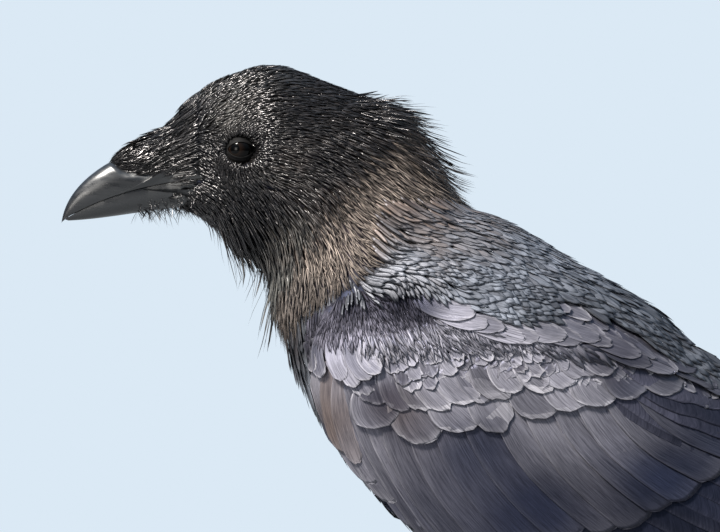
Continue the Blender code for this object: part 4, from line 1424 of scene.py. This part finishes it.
for side in signs:
    low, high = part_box("shank_" + side)
    shank = smoothedCopy("shank_scutes_" + side, "shank_" + side, 0.45, 3, scuteHorn)
    plateStep(shank, (0, high.y, high.z), shankWay, scutes["pitch"], scutes["step"], (0, -1, 0.15))
    for toeName in ("inner", "middle", "outer", "hind"):
        node = "toe_" + side + "_" + toeName
        toeLow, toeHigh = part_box(node)
        clawLow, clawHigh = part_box("claw_" + side + "_" + toeName)
        toward = ((clawLow + clawHigh) - (toeLow + toeHigh)) / 2
        toward.z = 0
        toward.normalize()
        toe = smoothedCopy("toe_scutes_" + side + "_" + toeName, node, 0.4, 3, scuteHorn)
        plateStep(toe, (toeLow + toeHigh) / 2, toward, scutes["toePitch"], scutes["toeStep"], (0, 0, 1))
        claw = smoothedCopy("claw_horn_" + side + "_" + toeName, "claw_" + side + "_" + toeName, 0.3, 2,
                            horn)
        lengthenBase(claw, toward.normalized())
print("legs")

# Floor, light and camera, in metres and watts. aim: where the camera and the lamps point, back from
# the bird's front and down from its top.
studio = {"floorRadius": 2.2, "aim": (0.1375, 0.0925), "cameraAway": 2.3, "lens": 250,
          "lampsAway": 6.0, "lampColour": (1.0, 0.96, 0.90),
          "keyPower": 1038, "keySize": 1.2, "keyWay": (0.42, -0.50, 0.76),
          "fillPower": 83, "fillSize": 1.93, "fillWay": (0.75, -0.65, 0.12),
          "backdrop": "#dbe9f5", "horizon": "#33414f", "overhead": "#b4c8e0"}
bpy.ops.object.select_all(action="DESELECT")
bpy.ops.mesh.primitive_circle_add(vertices=96, radius=studio["floorRadius"], fill_type="NGON",
                                  location=(0, 0, 0))
floor = bpy.context.active_object
floor.name = "floor"
floorPaint, _, _ = newMaterial("pale_matt_paint", {
    "Base Color": linearColour("#84878a"), "Roughness": 1.0, "Specular IOR Level": 0.0})
floor.data.materials.append(floorPaint)

aimBack, aimDown = studio["aim"]
middle = Vector(((cadLow.x + cadHigh.x) / 2, cadLow.y + aimBack, cadHigh.z - aimDown))
for lampName in ("key", "fill"):
    way = Vector(studio[lampName + "Way"]).normalized()
    bpy.ops.object.light_add(type="AREA", location=middle + way * studio["lampsAway"])
    lamp = bpy.context.active_object
    lamp.name = lampName
    lamp.data.energy, lamp.data.size = studio[lampName + "Power"], studio[lampName + "Size"]
    lamp.data.color = studio["lampColour"]
    lamp.rotation_mode = "QUATERNION"
    lamp.rotation_quaternion = way.to_track_quat("Z", "Y")

# the backdrop is pale, and the light it sheds on the bird is soft and comes from overhead
world = bpy.data.worlds.new("soft_daylight")
bpy.context.scene.world = world
world.use_nodes = True
worldTree = world.node_tree
worldPlace = addNode(worldTree, "ShaderNodeTexCoord")
worldAxes = addNode(worldTree, "ShaderNodeSeparateXYZ", None, {0: worldPlace.outputs["Generated"]})
overhead = addNode(worldTree, "ShaderNodeMapRange", {
    "From Min": 0.05, "From Max": 0.85, "To Min": 0.0, "To Max": 1.0}, {"Value": worldAxes.outputs[2]})
shed = addNode(worldTree, "ShaderNodeMix", {
    "data_type": "RGBA", 6: linearColour(studio["horizon"]), 7: linearColour(studio["overhead"])},
    {0: overhead.outputs[0]})
seenDirect = addNode(worldTree, "ShaderNodeLightPath")
skyColour = addNode(worldTree, "ShaderNodeMix", {
    "data_type": "RGBA", 7: linearColour(studio["backdrop"])},
    {0: seenDirect.outputs["Is Camera Ray"], 6: shed.outputs[2]})
background = worldTree.nodes["Background"]
worldTree.links.new(skyColour.outputs[2], background.inputs["Color"])
bpy.context.scene.view_settings.view_transform = "Standard"

bpy.ops.object.camera_add(location=middle + Vector((studio["cameraAway"], 0, 0)))
camera = bpy.context.active_object
camera.rotation_mode = "QUATERNION"
camera.rotation_quaternion = Vector((1, 0, 0)).to_track_quat("Z", "Y")
camera.data.lens = studio["lens"]
camera.data.sensor_width = 36
camera.data.clip_start, camera.data.clip_end = 0.05, 50
bpy.context.scene.camera = camera
